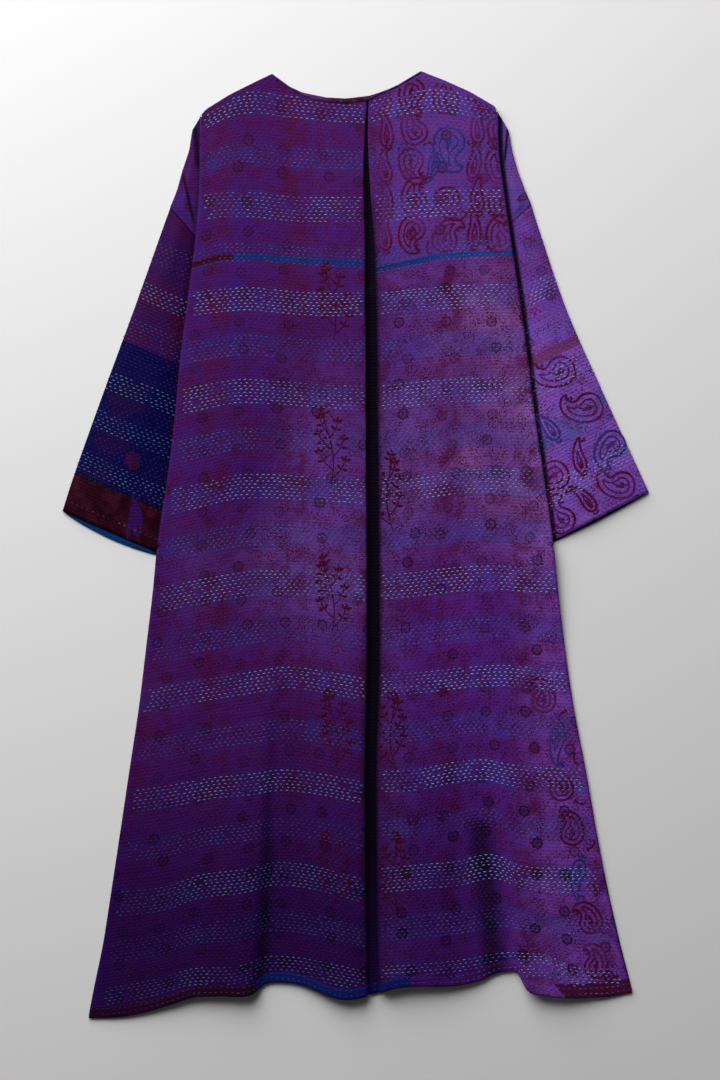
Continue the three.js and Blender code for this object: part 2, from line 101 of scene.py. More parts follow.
hemFolds = [
    {"side": "left", "at": 0.6, "rise": 11, "outward": 0.5, "inward": 0.055, "from": -80},
    {"side": "left", "at": 0.95, "rise": 4, "outward": 0.22, "inward": 0.12, "from": -200},
    {"side": "right", "at": 0.7, "rise": 8, "outward": 0.26, "inward": 0.3, "from": -150},
    {"side": "right", "at": 0.36, "rise": 11, "outward": 0.33, "inward": 0.05, "from": -120},
]
sleeveTable = {
    "left": {
        "outer": [(-226.5, 412), (-238, 380), (-271, 287), (-307, 189), (-342, 91), (-358, 41.5)],
        "inner": [(-107, 274.5), (-184, -34)],
        "lip": 8.0,
    },
    "right": {
        "outer": [(215, 415), (226, 380), (258, 287), (301, 189), (346, 91), (358, 64.5)],
        "inner": [(85, 302), (190, -21)],
        "lip": 3.0,
    },
}


def lerp(a, b, t):
    return a + (b - a) * t


def smoothstep(x, low, high):
    t = np.clip((np.asarray(x, float) - low) / (high - low), 0, 1)
    return t * t * (3 - 2 * t)


def read(table, at, column=1):  # straight lines between rows
    return np.interp(at, table[:, 0], table[:, column])


def readSmooth(table, at, column=1):  # a smooth line through the rows, with no overshoot
    x, y = table[:, 0], table[:, column]
    step = np.diff(y) / np.diff(x)
    slope = np.concatenate([[step[0]], (step[:-1] + step[1:]) / 2, [step[-1]]])
    flat = np.concatenate([[False], step[:-1] * step[1:] <= 0, [False]])
    slope[flat] = 0
    at = np.clip(np.asarray(at, float), x[0], x[-1])
    k = np.clip(np.searchsorted(x, at) - 1, 0, len(x) - 2)
    h = x[k + 1] - x[k]
    t = (at - x[k]) / h
    return (
        (1 + 2 * t) * (1 - t) ** 2 * y[k] + t * (1 - t) ** 2 * h * slope[k]
        + t * t * (3 - 2 * t) * y[k + 1] + t * t * (t - 1) * h * slope[k + 1]
    )


def edgeAt(side, y):
    return readSmooth(sideEdge, y, 1 if side == "left" else 2)


def pleatAt(side, y):
    return readSmooth(pleatTable, y, 1 if side == "left" else 2)


def pleatRise(y):
    return readSmooth(pleatTable, y, 3)


# how far the pair turned in under the side edge reaches, and how far the arm beneath it does
def foldsAt(side, y):
    y = np.asarray(y, float)
    edge = edgeAt(side, y)
    (ux, uy), (cx, cy) = sleeveTable[side]["inner"]
    inwards = -outwards[side]
    turned = (ux - edgeAt(side, uy)) * inwards + 6
    top = cornerY[side][0]
    above = np.maximum(turned * (top - y) / (top - uy), 2 * pairReach + gap)
    below = np.maximum(lerp(turned, 10, np.minimum((uy - y) / (uy - cloth["foldFoot"]), 1)), 10)
    arm = (lerp(ux, cx, np.minimum((uy - y) / (uy - cy), 1)) - edge) * inwards
    isAbove = y >= uy
    return np.where(isAbove, above, below), np.where(isAbove, above, arm), edge


# the middle of the front-and-back pair: it rides over the folds and the arm
def middle(x, y):
    height = pair / 2 + 0 * np.asarray(x, float)
    for side in ("left", "right"):
        depth, armDepth, edge = foldsAt(side, y)
        inset = (edge - x) * outwards[side]
        cuffY = sleeveTable[side]["inner"][1][1]
        foldFade = smoothstep(y, cloth["foldFoot"] - 170, cloth["foldFoot"])
        armFade = smoothstep(y, cuffY - 150, cuffY)
        for there, reach in ((foldFade, depth), (armFade, armDepth)):
            past = (inset - reach - 8) / (cloth["easing"] - 8)
            height = height + pairStep * there * (1 - smoothstep(past, 0, 1))
    return height


def bySide(x, y, work):
    isLeft = np.asarray(x, float) < read(pleatTable, 0, 1) + 8
    return np.where(isLeft, work("left", x, y), work("right", x, y))


def backLoft(x, y):
    return bySide(x, y, lambda side, x, y: 1.2 * smoothstep((edgeAt(side, y) - x) * outwards[side], 0, 60))


def liftOn(side, x, y):
    edge = edgeAt(side, y)
    inset = (edge - x) * outwards[side]
    fromPleat = (x - pleatAt(side, y)) * outwards[side]
    overFolds = 1 - smoothstep(fromPleat, pleat["depth"] + 4, pleat["depth"] + pleat["spread"])
    proud = pleatRise(y) - pleatLayers
    lift = pleatLayers * overFolds + proud * (1 - smoothstep(fromPleat, 0, pleat["spread"]))
    across = (x - edge) / (cloth["centreFront"] - edge)
    for fold in hemFolds:
        if fold["side"] != side:
            continue
        width = np.where(across < fold["at"], fold["outward"], fold["inward"])
        away = np.minimum(np.abs(across - fold["at"]) / width, 1)
        fade = 1 - smoothstep(y, cloth["hem"] + 40, fold["from"])
        lift = lift + fold["rise"] * fade * (0.5 + 0.5 * np.cos(math.pi * away)) * smoothstep(inset, 0, 30)
    return lift


# soft creases, listed one by one: from and to, half width, height (minus is a trough)
creases = [
    {"a": (-150, 470), "b": (-60, 330), "wide": 16, "rise": -0.9},
    {"a": (-172, 300), "b": (-90, 190), "wide": 20, "rise": 0.9},
    {"a": (-196, 150), "b": (-120, 20), "wide": 24, "rise": -1.1},
    {"a": (-30, 480), "b": (-12, 300), "wide": 15, "rise": 0.8},
    {"a": (60, 520), "b": (96, 380), "wide": 14, "rise": -0.8},
    {"a": (150, 440), "b": (92, 300), "wide": 18, "rise": 1.0},
    {"a": (178, 250), "b": (120, 90), "wide": 20, "rise": -1.1},
    {"a": (120, 150), "b": (80, -40), "wide": 26, "rise": 1.0},
    {"a": (-90, 60), "b": (-120, -150), "wide": 26, "rise": 1.2},
    {"a": (-210, -80), "b": (-230, -330), "wide": 28, "rise": 1.2},
    {"a": (-160, -200), "b": (-180, -420), "wide": 24, "rise": -1.4},
    {"a": (-50, -120), "b": (-66, -330), "wide": 22, "rise": -1.2},
    {"a": (70, -90), "b": (74, -320), "wide": 26, "rise": 1.1},
    {"a": (206, -60), "b": (232, -280), "wide": 26, "rise": -1.3},
    {"a": (250, -190), "b": (282, -420), "wide": 26, "rise": 1.4},
    {"a": (120, -300), "b": (128, -500), "wide": 30, "rise": -1.4},
]


def creaseHeight(x, y):
    x, y = np.asarray(x, float), np.asarray(y, float)
    total = 0 * x * y
    for c in creases:
        (ax, ay), (bx, by) = c["a"], c["b"]
        dx, dy = bx - ax, by - ay
        length = math.hypot(dx, dy)
        along = ((x - ax) * dx + (y - ay) * dy) / length**2
        across = ((x - ax) * dy - (y - ay) * dx) / length + 5 * np.sin(along * 5 + ax)
        body = np.clip(1 - np.abs(across) / (2 * c["wide"]), 0, 1)
        ends = smoothstep(along, -0.15, 0.4) * (1 - smoothstep(along, 0.65, 1.15))
        total = total + c["rise"] * body * body * (3 - 2 * body) * ends
    return total


bands = {
    "first": 534.0,  # height of the first bright one
    "pitch": 116.6,  # from one bright band to the next
    "brightHalf": 15.5,
    "faintHalf": 13.0,
    "row": 4.0,
    "stitch": 6.75,
}

# how far rows run above their height (minus is below), at shares of the way from side edge to pleat
dropShares = [0.0, 0.2, 0.35, 0.5, 0.65, 0.8, 1.0]
rowDrops = {
    "left": {
        534: [-20, 2, 6, 2, -1, -5, -7],
        417: [-3, -1, -2, -5, -7, -7, -7],
        355: [-14, -4, -4, -6, -8, -10, -13],
        301: [-6, -2, 0, -3, -6, -7, -5],
        184: [-11, -1, 4, 2, 0, -3, -5],
        68: [-18, -6, 3, 4, 2, 0, -3],
        -49: [-20, -10, -3, 2, 2, 0, -5],
        -166: [-25, -15, -8, -1, 5, 0, -10],
        -282: [-32, -23, -15, -11, -6, -10, -20],
        -399: [-39, -32, -16, -10, -1, -6, -22],
        -515: [-41, -28, -14, -12, 0, -4, -17],
    },
    "right": {
        534: [-4, 1, 6, 9, 6, 2, -7],
        417: [3, 2, 1, 0, -1, -3, -6],
        355: [1, 0, -1, -3, -8, -14, -21],
        301: [4, 4, 3, 2, 0, -2, -5],
        184: [6, 6, 5, 4, 2, -1, -5],
        68: [7, 9, 11, 10, 6, 2, -3],
        -49: [5, 6, 8, 7, 4, 0, -4],
        -166: [0, 4, 7, 5, 1, -2, -5],
        -282: [-5, -3, 1, 8, 4, -4, -6],
        -399: [-10, -9, -6, 8, -1, -3, -9],
        -515: [-17, -13, 6, 3, -4, -8, -12],
    },
}


def rowDrop(side, x, row):  # rows are named by the height that they would have on a flat panel
    x, row = np.asarray(x, float) + 0 * row, np.asarray(row, float) + 0 * x
    share = (x - edgeAt(side, row)) / (pleatAt(side, row) - edgeAt(side, row))
    heights = sorted(rowDrops[side])
    share = np.clip(share, 0, 1)
    lines = np.array([readSmooth(np.column_stack([dropShares, rowDrops[side][h]]), share) for h in heights])
    at = np.clip(np.interp(row, heights, np.arange(len(heights))), 0, len(heights) - 1.001)
    k = at.astype(int)
    low = np.take_along_axis(lines, k[None], 0)[0]
    high = np.take_along_axis(lines, k[None] + 1, 0)[0]
    return lerp(low, high, at - k)


def rowAt(x, y):  # the row that passes through a point
    def work(side, x, y):
        row = y - rowDrop(side, x, y)
        return y - rowDrop(side, x, row)

    return bySide(x, y, work)


def quilting(x, y):  # the cloth stands proud between the stitched bands
    wave = 0.5 - 0.5 * np.cos(4 * math.pi * (rowAt(x, y) - bands["first"]) / bands["pitch"])
    return 0.6 * wave * (0.7 + 0.3 * np.sin(x / 37 + y / 51))


def topZ(x, y):  # the visible surface of the back
    soft = bySide(x, y, lambda side, x, y: smoothstep((edgeAt(side, y) - x) * outwards[side], 4, 30))
    beside = bySide(x, y, lambda side, x, y: smoothstep((x - pleatAt(side, y)) * outwards[side], 1, 14))
    z = middle(x, y) + wallFromMiddle + backLoft(x, y) + bySide(x, y, liftOn) + wall / 2
    return z + (creaseHeight(x, y) + quilting(x, y)) * soft * beside


def heightAt(side, level, x, top, hem, topShare):
    cornerTop, cornerHem = cornerY[side]
    edgeShare = smoothstep(level, 300, cloth["shoulder"])
    hemShare = 1 - smoothstep(level, cloth["hem"], cloth["hem"] + 170)
    atSide = edgeShare * (cornerTop - cloth["shoulder"]) + hemShare * (cornerHem - cloth["hem"])
    atTop = topShare * (read(top, x) - cornerTop)
    return level + atSide + atTop + hemShare * (readSmooth(hem, x) - cornerHem)


def sideAt(side, level):
    top, hem = (np.array([(0, height), (1, height)]) for height in cornerY[side])
    y = heightAt(side, level, 0, top, hem, 0)
    depth, _, edge = foldsAt(side, y)
    return {"side": side, "level": level, "y": float(y), "edge": float(edge), "depth": float(depth)}


def point(x, z, nx=0.0, nz=1.0):
    return (x, z, nx, nz)


def arc(cx, cz, radius, start, stop, steps, facing):
    points = []
    for step in range(1, steps + 1):
        angle = math.radians(lerp(start, stop, step / steps))
        nx, nz = math.cos(angle), math.sin(angle)
        points.append(point(cx + radius * nx, cz + radius * nz, facing * nx, facing * nz))
    return points


foldDetail = {"arcSteps": 8, "across": 4, "strip": 9}
tailToArm = foldDetail["arcSteps"] + foldDetail["across"]
tailLength = 2 * foldDetail["arcSteps"] + foldDetail["across"] + foldDetail["strip"]


# the pair folded in under the side edge and out again to the arm
def sideFold(s, offset):
    turn = outwards[s["side"]]
    floor = pair / 2
    steps = foldDetail["arcSteps"]
    edgeCentre = s["edge"] - turn * pairReach
    inner = s["edge"] - turn * s["depth"]

    def sweep(degrees):
        return degrees if turn > 0 else 180 - degrees

    returnZ = floor + pairStep
    isReversed = s["level"] >= sleeveTable[s["side"]]["inner"][0][1] - 0.01
    innerCentre = inner + turn * pairReach if isReversed else inner
    arm = float(read(armEdge[s["side"]], s["y"]))
    top = floor + 1.5 * pairStep
    points = arc(edgeCentre, top, pairRadius + offset, sweep(90), sweep(-90), steps, 1)
    for k in range(1, foldDetail["across"] + 1):
        x = lerp(edgeCentre, innerCentre, k / foldDetail["across"])
        points.append(point(x, returnZ - offset, 0, -1))
    points += arc(innerCentre, floor + pairRadius, pairRadius - offset, sweep(90), sweep(270), steps, -1)
    strip = (arm - s["edge"]) * turn
    underEdge = max(strip / abs(arm - innerCentre), 0.3)
    crease = cloth["crease"] * float(smoothstep(strip, 12, 30)) if offset > 0 else 0
    for k in range(foldDetail["strip"]):
        share = underEdge * (1 - k / (foldDetail["strip"] - 1))
        along = share / underEdge
        rise = crease * math.exp(-(((along - 0.45) / 0.16) ** 2)) * 2.2
        rise = rise * float(smoothstep(1 - along, 0, 0.3))
        points.append(point(lerp(arm, innerCentre, share), floor + offset + rise))
    return points


# half of the pleat, from its floor out to its folded edge, drawn as a walk with turns
def pleatHalf(side, rise, edge, steps=6, runs=5):
    turn = outwards[side]
    slope = math.asin((rise - pleatLayers) / pleat["depth"])
    points = []
    place = {"x": 0.0, "z": 0.0, "heading": math.pi}

    def add():
        facing = place["heading"] - math.pi / 2
        points.append(point(place["x"], place["z"], math.cos(facing), math.sin(facing)))

    def forward(length):
        place["x"] += length * math.cos(place["heading"])
        place["z"] += length * math.sin(place["heading"])
        add()

    def bend(angle):
        chord = 2 * foldRadius * math.sin(abs(angle) / steps / 2)
        for _ in range(steps):
            place["heading"] += angle / steps / 2
            place["x"] += chord * math.cos(place["heading"])
            place["z"] += chord * math.sin(place["heading"])
            place["heading"] += angle / steps / 2
            add()

    add()
    bend(-(math.pi - slope))
    for _ in range(runs):
        forward(pleat["depth"] / runs)
    bend(math.pi - slope)
    shift = -edge * turn - wall / 2 - max(p[0] for p in points)
    return [point(-(x + shift) * turn, z, -nx * turn, nz) for x, z, nx, nz in points]


# closes rows of section points, with their outward directions, into a shell
def shellMesh(name, middles, normals, shown, outer, inner, cut, marks=()):
    rows, columns = middles.shape[:2]
    top = middles + normals * outer[..., None]
    low = middles - normals * inner[..., None]
    verts = np.concatenate([top.reshape(-1, 3), low.reshape(-1, 3)]) * mm
    count = rows * columns
    ids = np.arange(count).reshape(rows, columns)
    a, b, c, d = ids[:-1, :-1], ids[1:, :-1], ids[1:, 1:], ids[:-1, 1:]
    outerFaces = np.stack([a[shown], b[shown], c[shown], d[shown]], 1)
    innerFaces = np.stack([a[shown], d[shown], c[shown], b[shown]], 1) + count
    holds = np.zeros((rows + 1, columns + 1), bool)
    holds[1:-1, 1:-1] = shown
    here = holds[1:-1, 1:-1]
    up, down = here & ~holds[:-2, 1:-1], here & ~holds[2:, 1:-1]
    before, after = here & ~holds[1:-1, :-2], here & ~holds[1:-1, 2:]
    bare = ((a, d, up), (c, b, down), (b, a, before), (d, c, after))
    rims = [np.stack([p[at], q[at], q[at] + count, p[at] + count], 1) for p, q, at in bare]
    faces = np.concatenate([outerFaces, innerFaces] + rims)
    twice = {label: np.concatenate([values.ravel()] * 2) for label, values in dict(marks).items()}
    return plainMesh(name, verts, faces, np.concatenate([cut.reshape(-1, 2)] * 2), twice)


# marks are numbers kept at the points, which the materials read
def plainMesh(name, verts, faces, uv, marks):
    used = np.unique(faces)
    place = np.zeros(len(verts), int)
    place[used] = np.arange(len(used))
    mesh = bpy.data.meshes.new(name)
    mesh.from_pydata(verts[used].tolist(), [], place[faces].tolist())
    mesh.update()
    mesh.validate()
    layer = mesh.uv_layers.new(name="cut")
    corner = np.empty(len(mesh.loops), int)
    mesh.loops.foreach_get("vertex_index", corner)
    layer.data.foreach_set("uv", uv[used][corner].astype(np.float32).ravel())
    for label, values in dict(marks).items():
        kept = mesh.attributes.new(label, "FLOAT", "POINT")
        kept.data.foreach_set("value", values[used].astype(np.float32))
    mesh.polygons.foreach_set("use_smooth", [True] * len(mesh.polygons))
    piece = bpy.data.objects.new(name, mesh)
    bpy.context.collection.objects.link(piece)
    faceOut(mesh)
    return piece


def faceOut(mesh):  # turns every face over if the shell came out inside out
    count = len(mesh.vertices)
    verts = np.empty(count * 3)
    mesh.vertices.foreach_get("co", verts)
    verts = verts.reshape(-1, 3)
    mesh.calc_loop_triangles()
    tris = np.empty(len(mesh.loop_triangles) * 3, int)
    mesh.loop_triangles.foreach_get("vertices", tris)
    a, b, c = (verts[tris.reshape(-1, 3)[:, k]] for k in range(3))
    if np.einsum("ij,ij->", a, np.cross(b, c)) < 0:
        mesh.flip_normals()


def rowLevels(step, fine):  # every level where the frame's shape changes is a row
    underarms = [sleeveTable[side]["inner"][0][1] for side in ("right", "left")]
    marks = [cloth["shoulder"], cloth["foldStart"], 512, *underarms, cloth["foldFoot"], cloth["hem"]]
    levels = []
    for high, low in zip(marks, marks[1:]):
        count = max(1, round((high - low) / step))
        levels += [lerp(high, low, k / count) for k in range(count)]
    levels.append(marks[-1])
    near = [cloth["hem"] + fine * k for k in range(1, 12)]
    levels = [v for v in levels if not cloth["hem"] < v <= near[-1] + 0.4 * step] + near
    return np.array(sorted(levels, reverse=True))


def isFolded(level):
    return cloth["foldFoot"] - 0.01 <= level <= cloth["foldStart"] + 0.01


def tailCells(side, levels):  # which cells of the fold hold cloth, counted outwards
    shown = np.zeros((len(levels) - 1, tailLength), bool)
    underarm = sleeveTable[side]["inner"][0][1]
    for row in range(len(levels) - 1):
        if isFolded(levels[row]) and isFolded(levels[row + 1]):
            shown[row, :tailToArm] = True
            if levels[row + 1] >= underarm - 0.01:
                shown[row, :] = True
    return shown


def bodyColumns(s, shares, centre):
    start = s["edge"] - outwards[s["side"]] * (pairReach if isFolded(s["level"]) else 0)
    x = lerp(s["edge"], centre, shares)
    x[0] = start
    near = np.abs(x[1:4] - s["edge"]).searchsorted(abs(start - s["edge"]) + 0.5)
    x[1:1 + near] = lerp(x[0], x[1 + near], np.arange(1, 1 + near) / (1 + near))
    return x


def faceAcross(xs, zs):  # the direction across a line of points
    dx, dz = np.gradient(xs), np.gradient(zs)
    length = np.hypot(dx, dz)
    return -dz / length, dx / length


# the back
backShape = {"rowStep": 5.5, "hemStep": 1.6, "columns": 62, "fromPleat": 4.0}


def backSection(level):
    topShare = float(smoothstep(level, 300, cloth["shoulder"]))
    sides = {side: sideAt(side, level) for side in outwards}

    def yAt(side, x):
        return heightAt(side, level, x, backTop, backHem, topShare)

    def body(side):
        inner = float(pleatAt(side, sides[side]["y"])) + outwards[side] * backShape["fromPleat"]
        x = bodyColumns(sides[side], np.linspace(0, 1, backShape["columns"]), inner)
        y = yAt(side, x)
        return x, y, topZ(x, y) - wall / 2

    def lay(side, points):
        x = np.array([p[0] for p in points])
        y = yAt(side, x)
        z = np.array([p[1] for p in points]) + middle(x, y) + wallFromMiddle + backLoft(x, y)
        return x, y, z, np.array([p[2] for p in points]), np.array([p[3] for p in points])

    def halfPleat(side):
        y = float(yAt(side, pleatAt(side, sides[side]["y"])))
        return pleatHalf(side, float(pleatRise(y)), float(pleatAt(side, y)))

    leftHalf = halfPleat("left")[::-1]
    rightHalf = halfPleat("right")
    floor = [point((leftHalf[-1][0] + rightHalf[0][0]) / 2, 0)]
    tails = {}
    for side in outwards:
        s = sides[side]
        points = sideFold(s, wallFromMiddle)
        tails[side] = tuple(np.array([p[k] for p in points]) for k in range(4))
    parts = []
    lx, lz, lnx, lnz = tails["left"]
    parts.append((lx[::-1], np.full(len(lx), sides["left"]["y"]), lz[::-1], lnx[::-1], lnz[::-1]))
    x, y, z = body("left")
    nx, nz = faceAcross(x, z)
    nx[0], nz[0] = 0, 1
    parts.append((x, y, z, nx, nz))
    parts += [lay("left", leftHalf), lay("left", floor), lay("right", rightHalf)]
    x, y, z = body("right")
    x, y, z = x[::-1], y[::-1], z[::-1]
    nx, nz = faceAcross(x, z)
    nx[-1], nz[-1] = 0, 1
    parts.append((x, y, z, nx, nz))
    rx, rz, rnx, rnz = tails["right"]
    parts.append((rx, np.full(len(rx), sides["right"]["y"]), rz, rnx, rnz))
    return [np.concatenate([p[k] for p in parts]) for k in range(5)]


def hemRoll(distance, width, rise):  # a turned edge: thicker near the edge, round at the very end
    thicker = rise * (1 - smoothstep(distance, width - 3, width + 1))
    return thicker - (rise + 0.35) * (1 - smoothstep(distance, 0, 1.8))


def gridArrays(sections):
    x, y, z, nx, nz = (np.array([s[k] for s in sections]) for k in range(5))
    middles = np.stack([x, y, z], -1)
    normals = np.stack([nx, 0 * nx, nz], -1)
    return middles, normals


# the UV map: metres across the cut cloth, and the row. Between the flat stretches it follows the folds
def cutMap(middles, flat, rows):
    steps = np.linalg.norm(np.diff(middles, axis=1), axis=2)
    across = middles[..., 0].copy()
    for column in range(flat[0][0] - 1, -1, -1):
        across[:, column] = across[:, column + 1] - steps[:, column]
    for before, after in zip(flat, flat[1:]):
        half = (before[1] + after[0]) // 2
        for column in range(before[1] + 1, half):
            across[:, column] = across[:, column - 1] + steps[:, column - 1]
        for column in range(after[0] - 1, half - 1, -1):
            across[:, column] = across[:, column + 1] - steps[:, column]
    for column in range(flat[-1][1] + 1, middles.shape[1]):
        across[:, column] = across[:, column - 1] + steps[:, column - 1]
    return np.stack([across, rows], -1) * mm


def makeBack():
    levels = rowLevels(backShape["rowStep"], backShape["hemStep"])
    middles, normals = gridArrays([backSection(level) for level in levels])
    columns = middles.shape[1]
    shown = np.ones((len(levels) - 1, columns - 1), bool)
    shown[:, :tailLength] = tailCells("left", levels)[:, ::-1]
    shown[:, columns - 1 - tailLength:] = tailCells("right", levels)
    fromHem = (levels - cloth["hem"])[:, None] + 0 * middles[..., 0]
    roll = hemRoll(fromHem, 13, 0.45)
    outer = wall / 2 + roll
    inner = wall / 2 + np.minimum(roll, 0.1)
    last = columns - 1
    span = backShape["columns"] - 1
    flat = [(tailLength, tailLength + span), (last - tailLength - span, last - tailLength)]
    cut = cutMap(middles, flat, rowAt(middles[..., 0], middles[..., 1]))
    x, y, z = middles[..., 0], middles[..., 1], middles[..., 2]
    isLeft = np.arange(columns)[None] < columns // 2
    inPleat = slice(flat[0][1] + 1, flat[1][0])
    depth = 0 * z
    depth[:, inPleat] = z[:, inPleat].max(axis=1, keepdims=True) - z[:, inPleat]
    marks = {
        "fromHem": y - readSmooth(backHem, x),
        "outside": np.where(isLeft, edgeAt("left", y) - x, x - edgeAt("right", y)),
        "beside": np.where(isLeft, pleatAt("left", y) - x, x - pleatAt("right", y)),
        "depth": depth,
    }
    return shellMesh("coatBack", middles, normals, shown, outer, inner, cut, marks)


# the fronts, from the armhole to the centre edge
frontShape = {
    "rowStep": 11, "hemStep": 5, "columns": 34, "neckAt": {"left": -102, "right": 80}, "openingFoot": 400.0,
}


def makeFront(side):
    levels = rowLevels(frontShape["rowStep"], frontShape["hemStep"])
    centre = cloth["centreFront"] + outwards[side] * cloth["frontGap"] / 2
    corners = [tuple(p) for p in backTop if (p[0] - frontShape["neckAt"][side]) * outwards[side] >= 0]
    top = np.array(sorted(corners + [(centre, frontShape["openingFoot"])]))
    sections = []
    for level in levels:
        s = sideAt(side, level)
        topShare = float(smoothstep(level, 200, cloth["shoulder"]))
        x = bodyColumns(s, np.linspace(0, 1, frontShape["columns"]), centre)
        y = heightAt(side, level, x, top, frontHem, topShare)
        z = middle(x, y) - wallFromMiddle
        tail = [np.array(v) for v in zip(*sideFold(s, -wallFromMiddle))]
        tailY = np.full(tailLength, s["y"])
        section = [
            np.concatenate([x[::-1], tail[0]]), np.concatenate([y[::-1], tailY]),
            np.concatenate([z[::-1], tail[1]]), np.concatenate([0 * x, tail[2]]),
            np.concatenate([0 * x + 1, tail[3]]),
        ]
        sections.append(section)
    middles, normals = gridArrays(sections)
    columns = middles.shape[1]
    shown = np.ones((len(levels) - 1, columns - 1), bool)
    shown[:, columns - 1 - tailLength:] = tailCells(side, levels)
    half = np.full(middles.shape[:2], wall / 2)
    name = "coatFront" + side.capitalize()
    cut = cutMap(middles, [(0, columns - 1 - tailLength)], middles[..., 1])
    return shellMesh(name, middles, normals, shown, half, half, cut)


# the sleeves, flat tubes from the armhole seam in under the body
sleeveShape = {"rings": 92, "seen": 30, "under": 6, "loft": 5.0}


def smoothPath(points, share):  # a curve through the points, by its length
    pts = np.array(points, float)
    t = np.linspace(0, len(pts) - 1, 241)
    k = np.clip(t.astype(int), 0, len(pts) - 2)
    f = (t - k)[:, None]
    before = np.where((k == 0)[:, None], 2 * pts[k] - pts[k + 1], pts[np.maximum(k - 1, 0)])
    last = (k + 2 >= len(pts))[:, None]
    after = np.where(last, 2 * pts[k + 1] - pts[k], pts[np.minimum(k + 2, len(pts) - 1)])
    line = 0.5 * (
        2 * pts[k] + (pts[k + 1] - before) * f + (2 * before - 5 * pts[k] + 4 * pts[k + 1] - after) * f**2
        + (3 * pts[k] - before - 3 * pts[k + 1] + after) * f**3
    )
    along = np.concatenate([[0], np.cumsum(np.linalg.norm(np.diff(line, axis=0), axis=1))])
    at = share * along[-1]
    return np.array([np.interp(at, along, line[:, 0]), np.interp(at, along, line[:, 1])])


def sleeveFrame(side, share):
    table = sleeveTable[side]
    seam = np.array([outwards[side], -1]) * -0.3 * (1 - share)
    start = smoothPath(table["outer"], share) + seam
    (ux, uy), (cx, cy) = table["inner"]
    end = np.array([lerp(ux, cx, share), lerp(uy, cy, share)]) + seam
    across = (end - start) / np.linalg.norm(end - start)
    down = np.array([across[1], -across[0]]) * -outwards[side]
    t = np.linspace(0, 1, 401)
    x, y = lerp(start[0], end[0], t), lerp(start[1], end[1], t)
    under = (x - edgeAt(side, y)) * outwards[side] < 3
    hidden = max(float(t[under.argmax()]) if under.any() else 1.0, 0.05)
    return start, end, across, down, hidden


def sleevePuff(side, share, t, hidden):
    ends = 0.5 + 0.5 * float(smoothstep(share, 0, 0.12) * (1 - smoothstep(share, 0.9, 1)))
    u = np.clip(t / hidden, 0, 1)
    puff = ends * sleeveShape["loft"] * np.sin(math.pi * u) ** 0.8
    ripple = 0.45 * (0.5 - 0.5 * np.cos(2 * math.pi * share * 6.5)) * np.sin(math.pi * u) ** 0.5
    crease = 0.8 * np.sin(9 * share + 5 * u + outwards[side]) * np.sin(math.pi * u) ** 2
    return puff + ripple + crease


def sleeveRing(side, share, inset):
    start, end, across, down, hidden = sleeveFrame(side, share)
    lip = sleeveTable[side]["lip"]
    radius = pair / 2
    far = radius - inset
    a, b = start + across * radius, end - across * radius
    shares = np.concatenate([
        np.linspace(0, hidden, sleeveShape["seen"], endpoint=False),
        np.linspace(hidden, 1, sleeveShape["under"] + 1),
    ])
    last = smoothstep(share, 0.985, 1)
    slip = lip * last * np.sin(math.pi * np.minimum(shares / (1.15 * hidden), 1)) ** 0.7
    lower = a + (b - a) * shares[:, None] + down * slip[:, None]
    upper = a + (b - a) * shares[::-1, None]
    puff = sleevePuff(side, share, shares[::-1], hidden)
    turns = [math.pi * k / 6 for k in range(1, 6)]
    tip = [(*(b + across * far * math.sin(v)), radius - far * math.cos(v)) for v in turns]
    heel = [(*(a - across * far * math.sin(v)), radius + far * math.cos(v)) for v in turns]
    return np.concatenate([
        np.column_stack([lower, np.full(len(shares), inset)]), np.array(tip),
        np.column_stack([upper, pair - inset + puff]), np.array(heel),
    ])


# along the cuff from its outer corner and up from it, as a point and two directions
def cuffFrame(side):
    table = sleeveTable[side]
    corner = np.array(table["outer"][-1], float)
    along = np.array(table["inner"][1], float) - corner
    along /= np.linalg.norm(along)
    return corner, along, np.array([along[1], -along[0]]) * outwards[side]


# the UV map: metres along the cuff and up from it, mirrored at the outer fold for the under side
def sleeveCut(side, rings):
    corner, along, up = cuffFrame(side)
    offset = rings[..., :2] - corner
    u, v = offset @ along, offset @ up
    under = np.arange(rings.shape[1]) < sleeveShape["seen"] + sleeveShape["under"] + 1
    edge = u.min(axis=1, keepdims=True)
    u = np.where(under[None], 2 * edge - u, u)
    return np.stack([u, v], -1) * mm


def makeSleeve(side):
    rings = sleeveShape["rings"]
    shares = np.linspace(0, 1, rings)
    outer = np.array([sleeveRing(side, share, 0.0) for share in shares])
    inner = np.array([sleeveRing(side, share, wall) for share in shares])
    around = outer.shape[1]
    ids = np.arange(rings * around).reshape(rings, around)
    count = rings * around
    a, b = ids[:-1], np.roll(ids[:-1], -1, 1)
    c, d = np.roll(ids[1:], -1, 1), ids[1:]
    quads = np.stack([a, b, c, d], -1).reshape(-1, 4)
    inside = np.stack([a, d, c, b], -1).reshape(-1, 4) + count
    top, low = ids[0], ids[-1]
    startRim = np.stack([np.roll(top, -1), top, top + count, np.roll(top, -1) + count], -1)
    endRim = np.stack([low, np.roll(low, -1), np.roll(low, -1) + count, low + count], -1)
    verts = np.concatenate([outer.reshape(-1, 3), inner.reshape(-1, 3)]) * mm
    uv = np.concatenate([sleeveCut(side, outer).reshape(-1, 2)] * 2)
    faces = np.concatenate([quads, inside, startRim, endRim])
    x, y = verts[:, 0] / mm, verts[:, 1] / mm
    outside = (x - edgeAt(side, y)) * outwards[side]
    length = math.dist(sleeveTable[side]["outer"][-1], sleeveTable[side]["outer"][0])
    fromSeam = np.tile(np.repeat(shares * length, around), 2)
    marks = {"outside": outside, "fromSeam": fromSeam}
    return plainMesh("coatSleeve" + side.capitalize(), verts, faces, uv, marks)


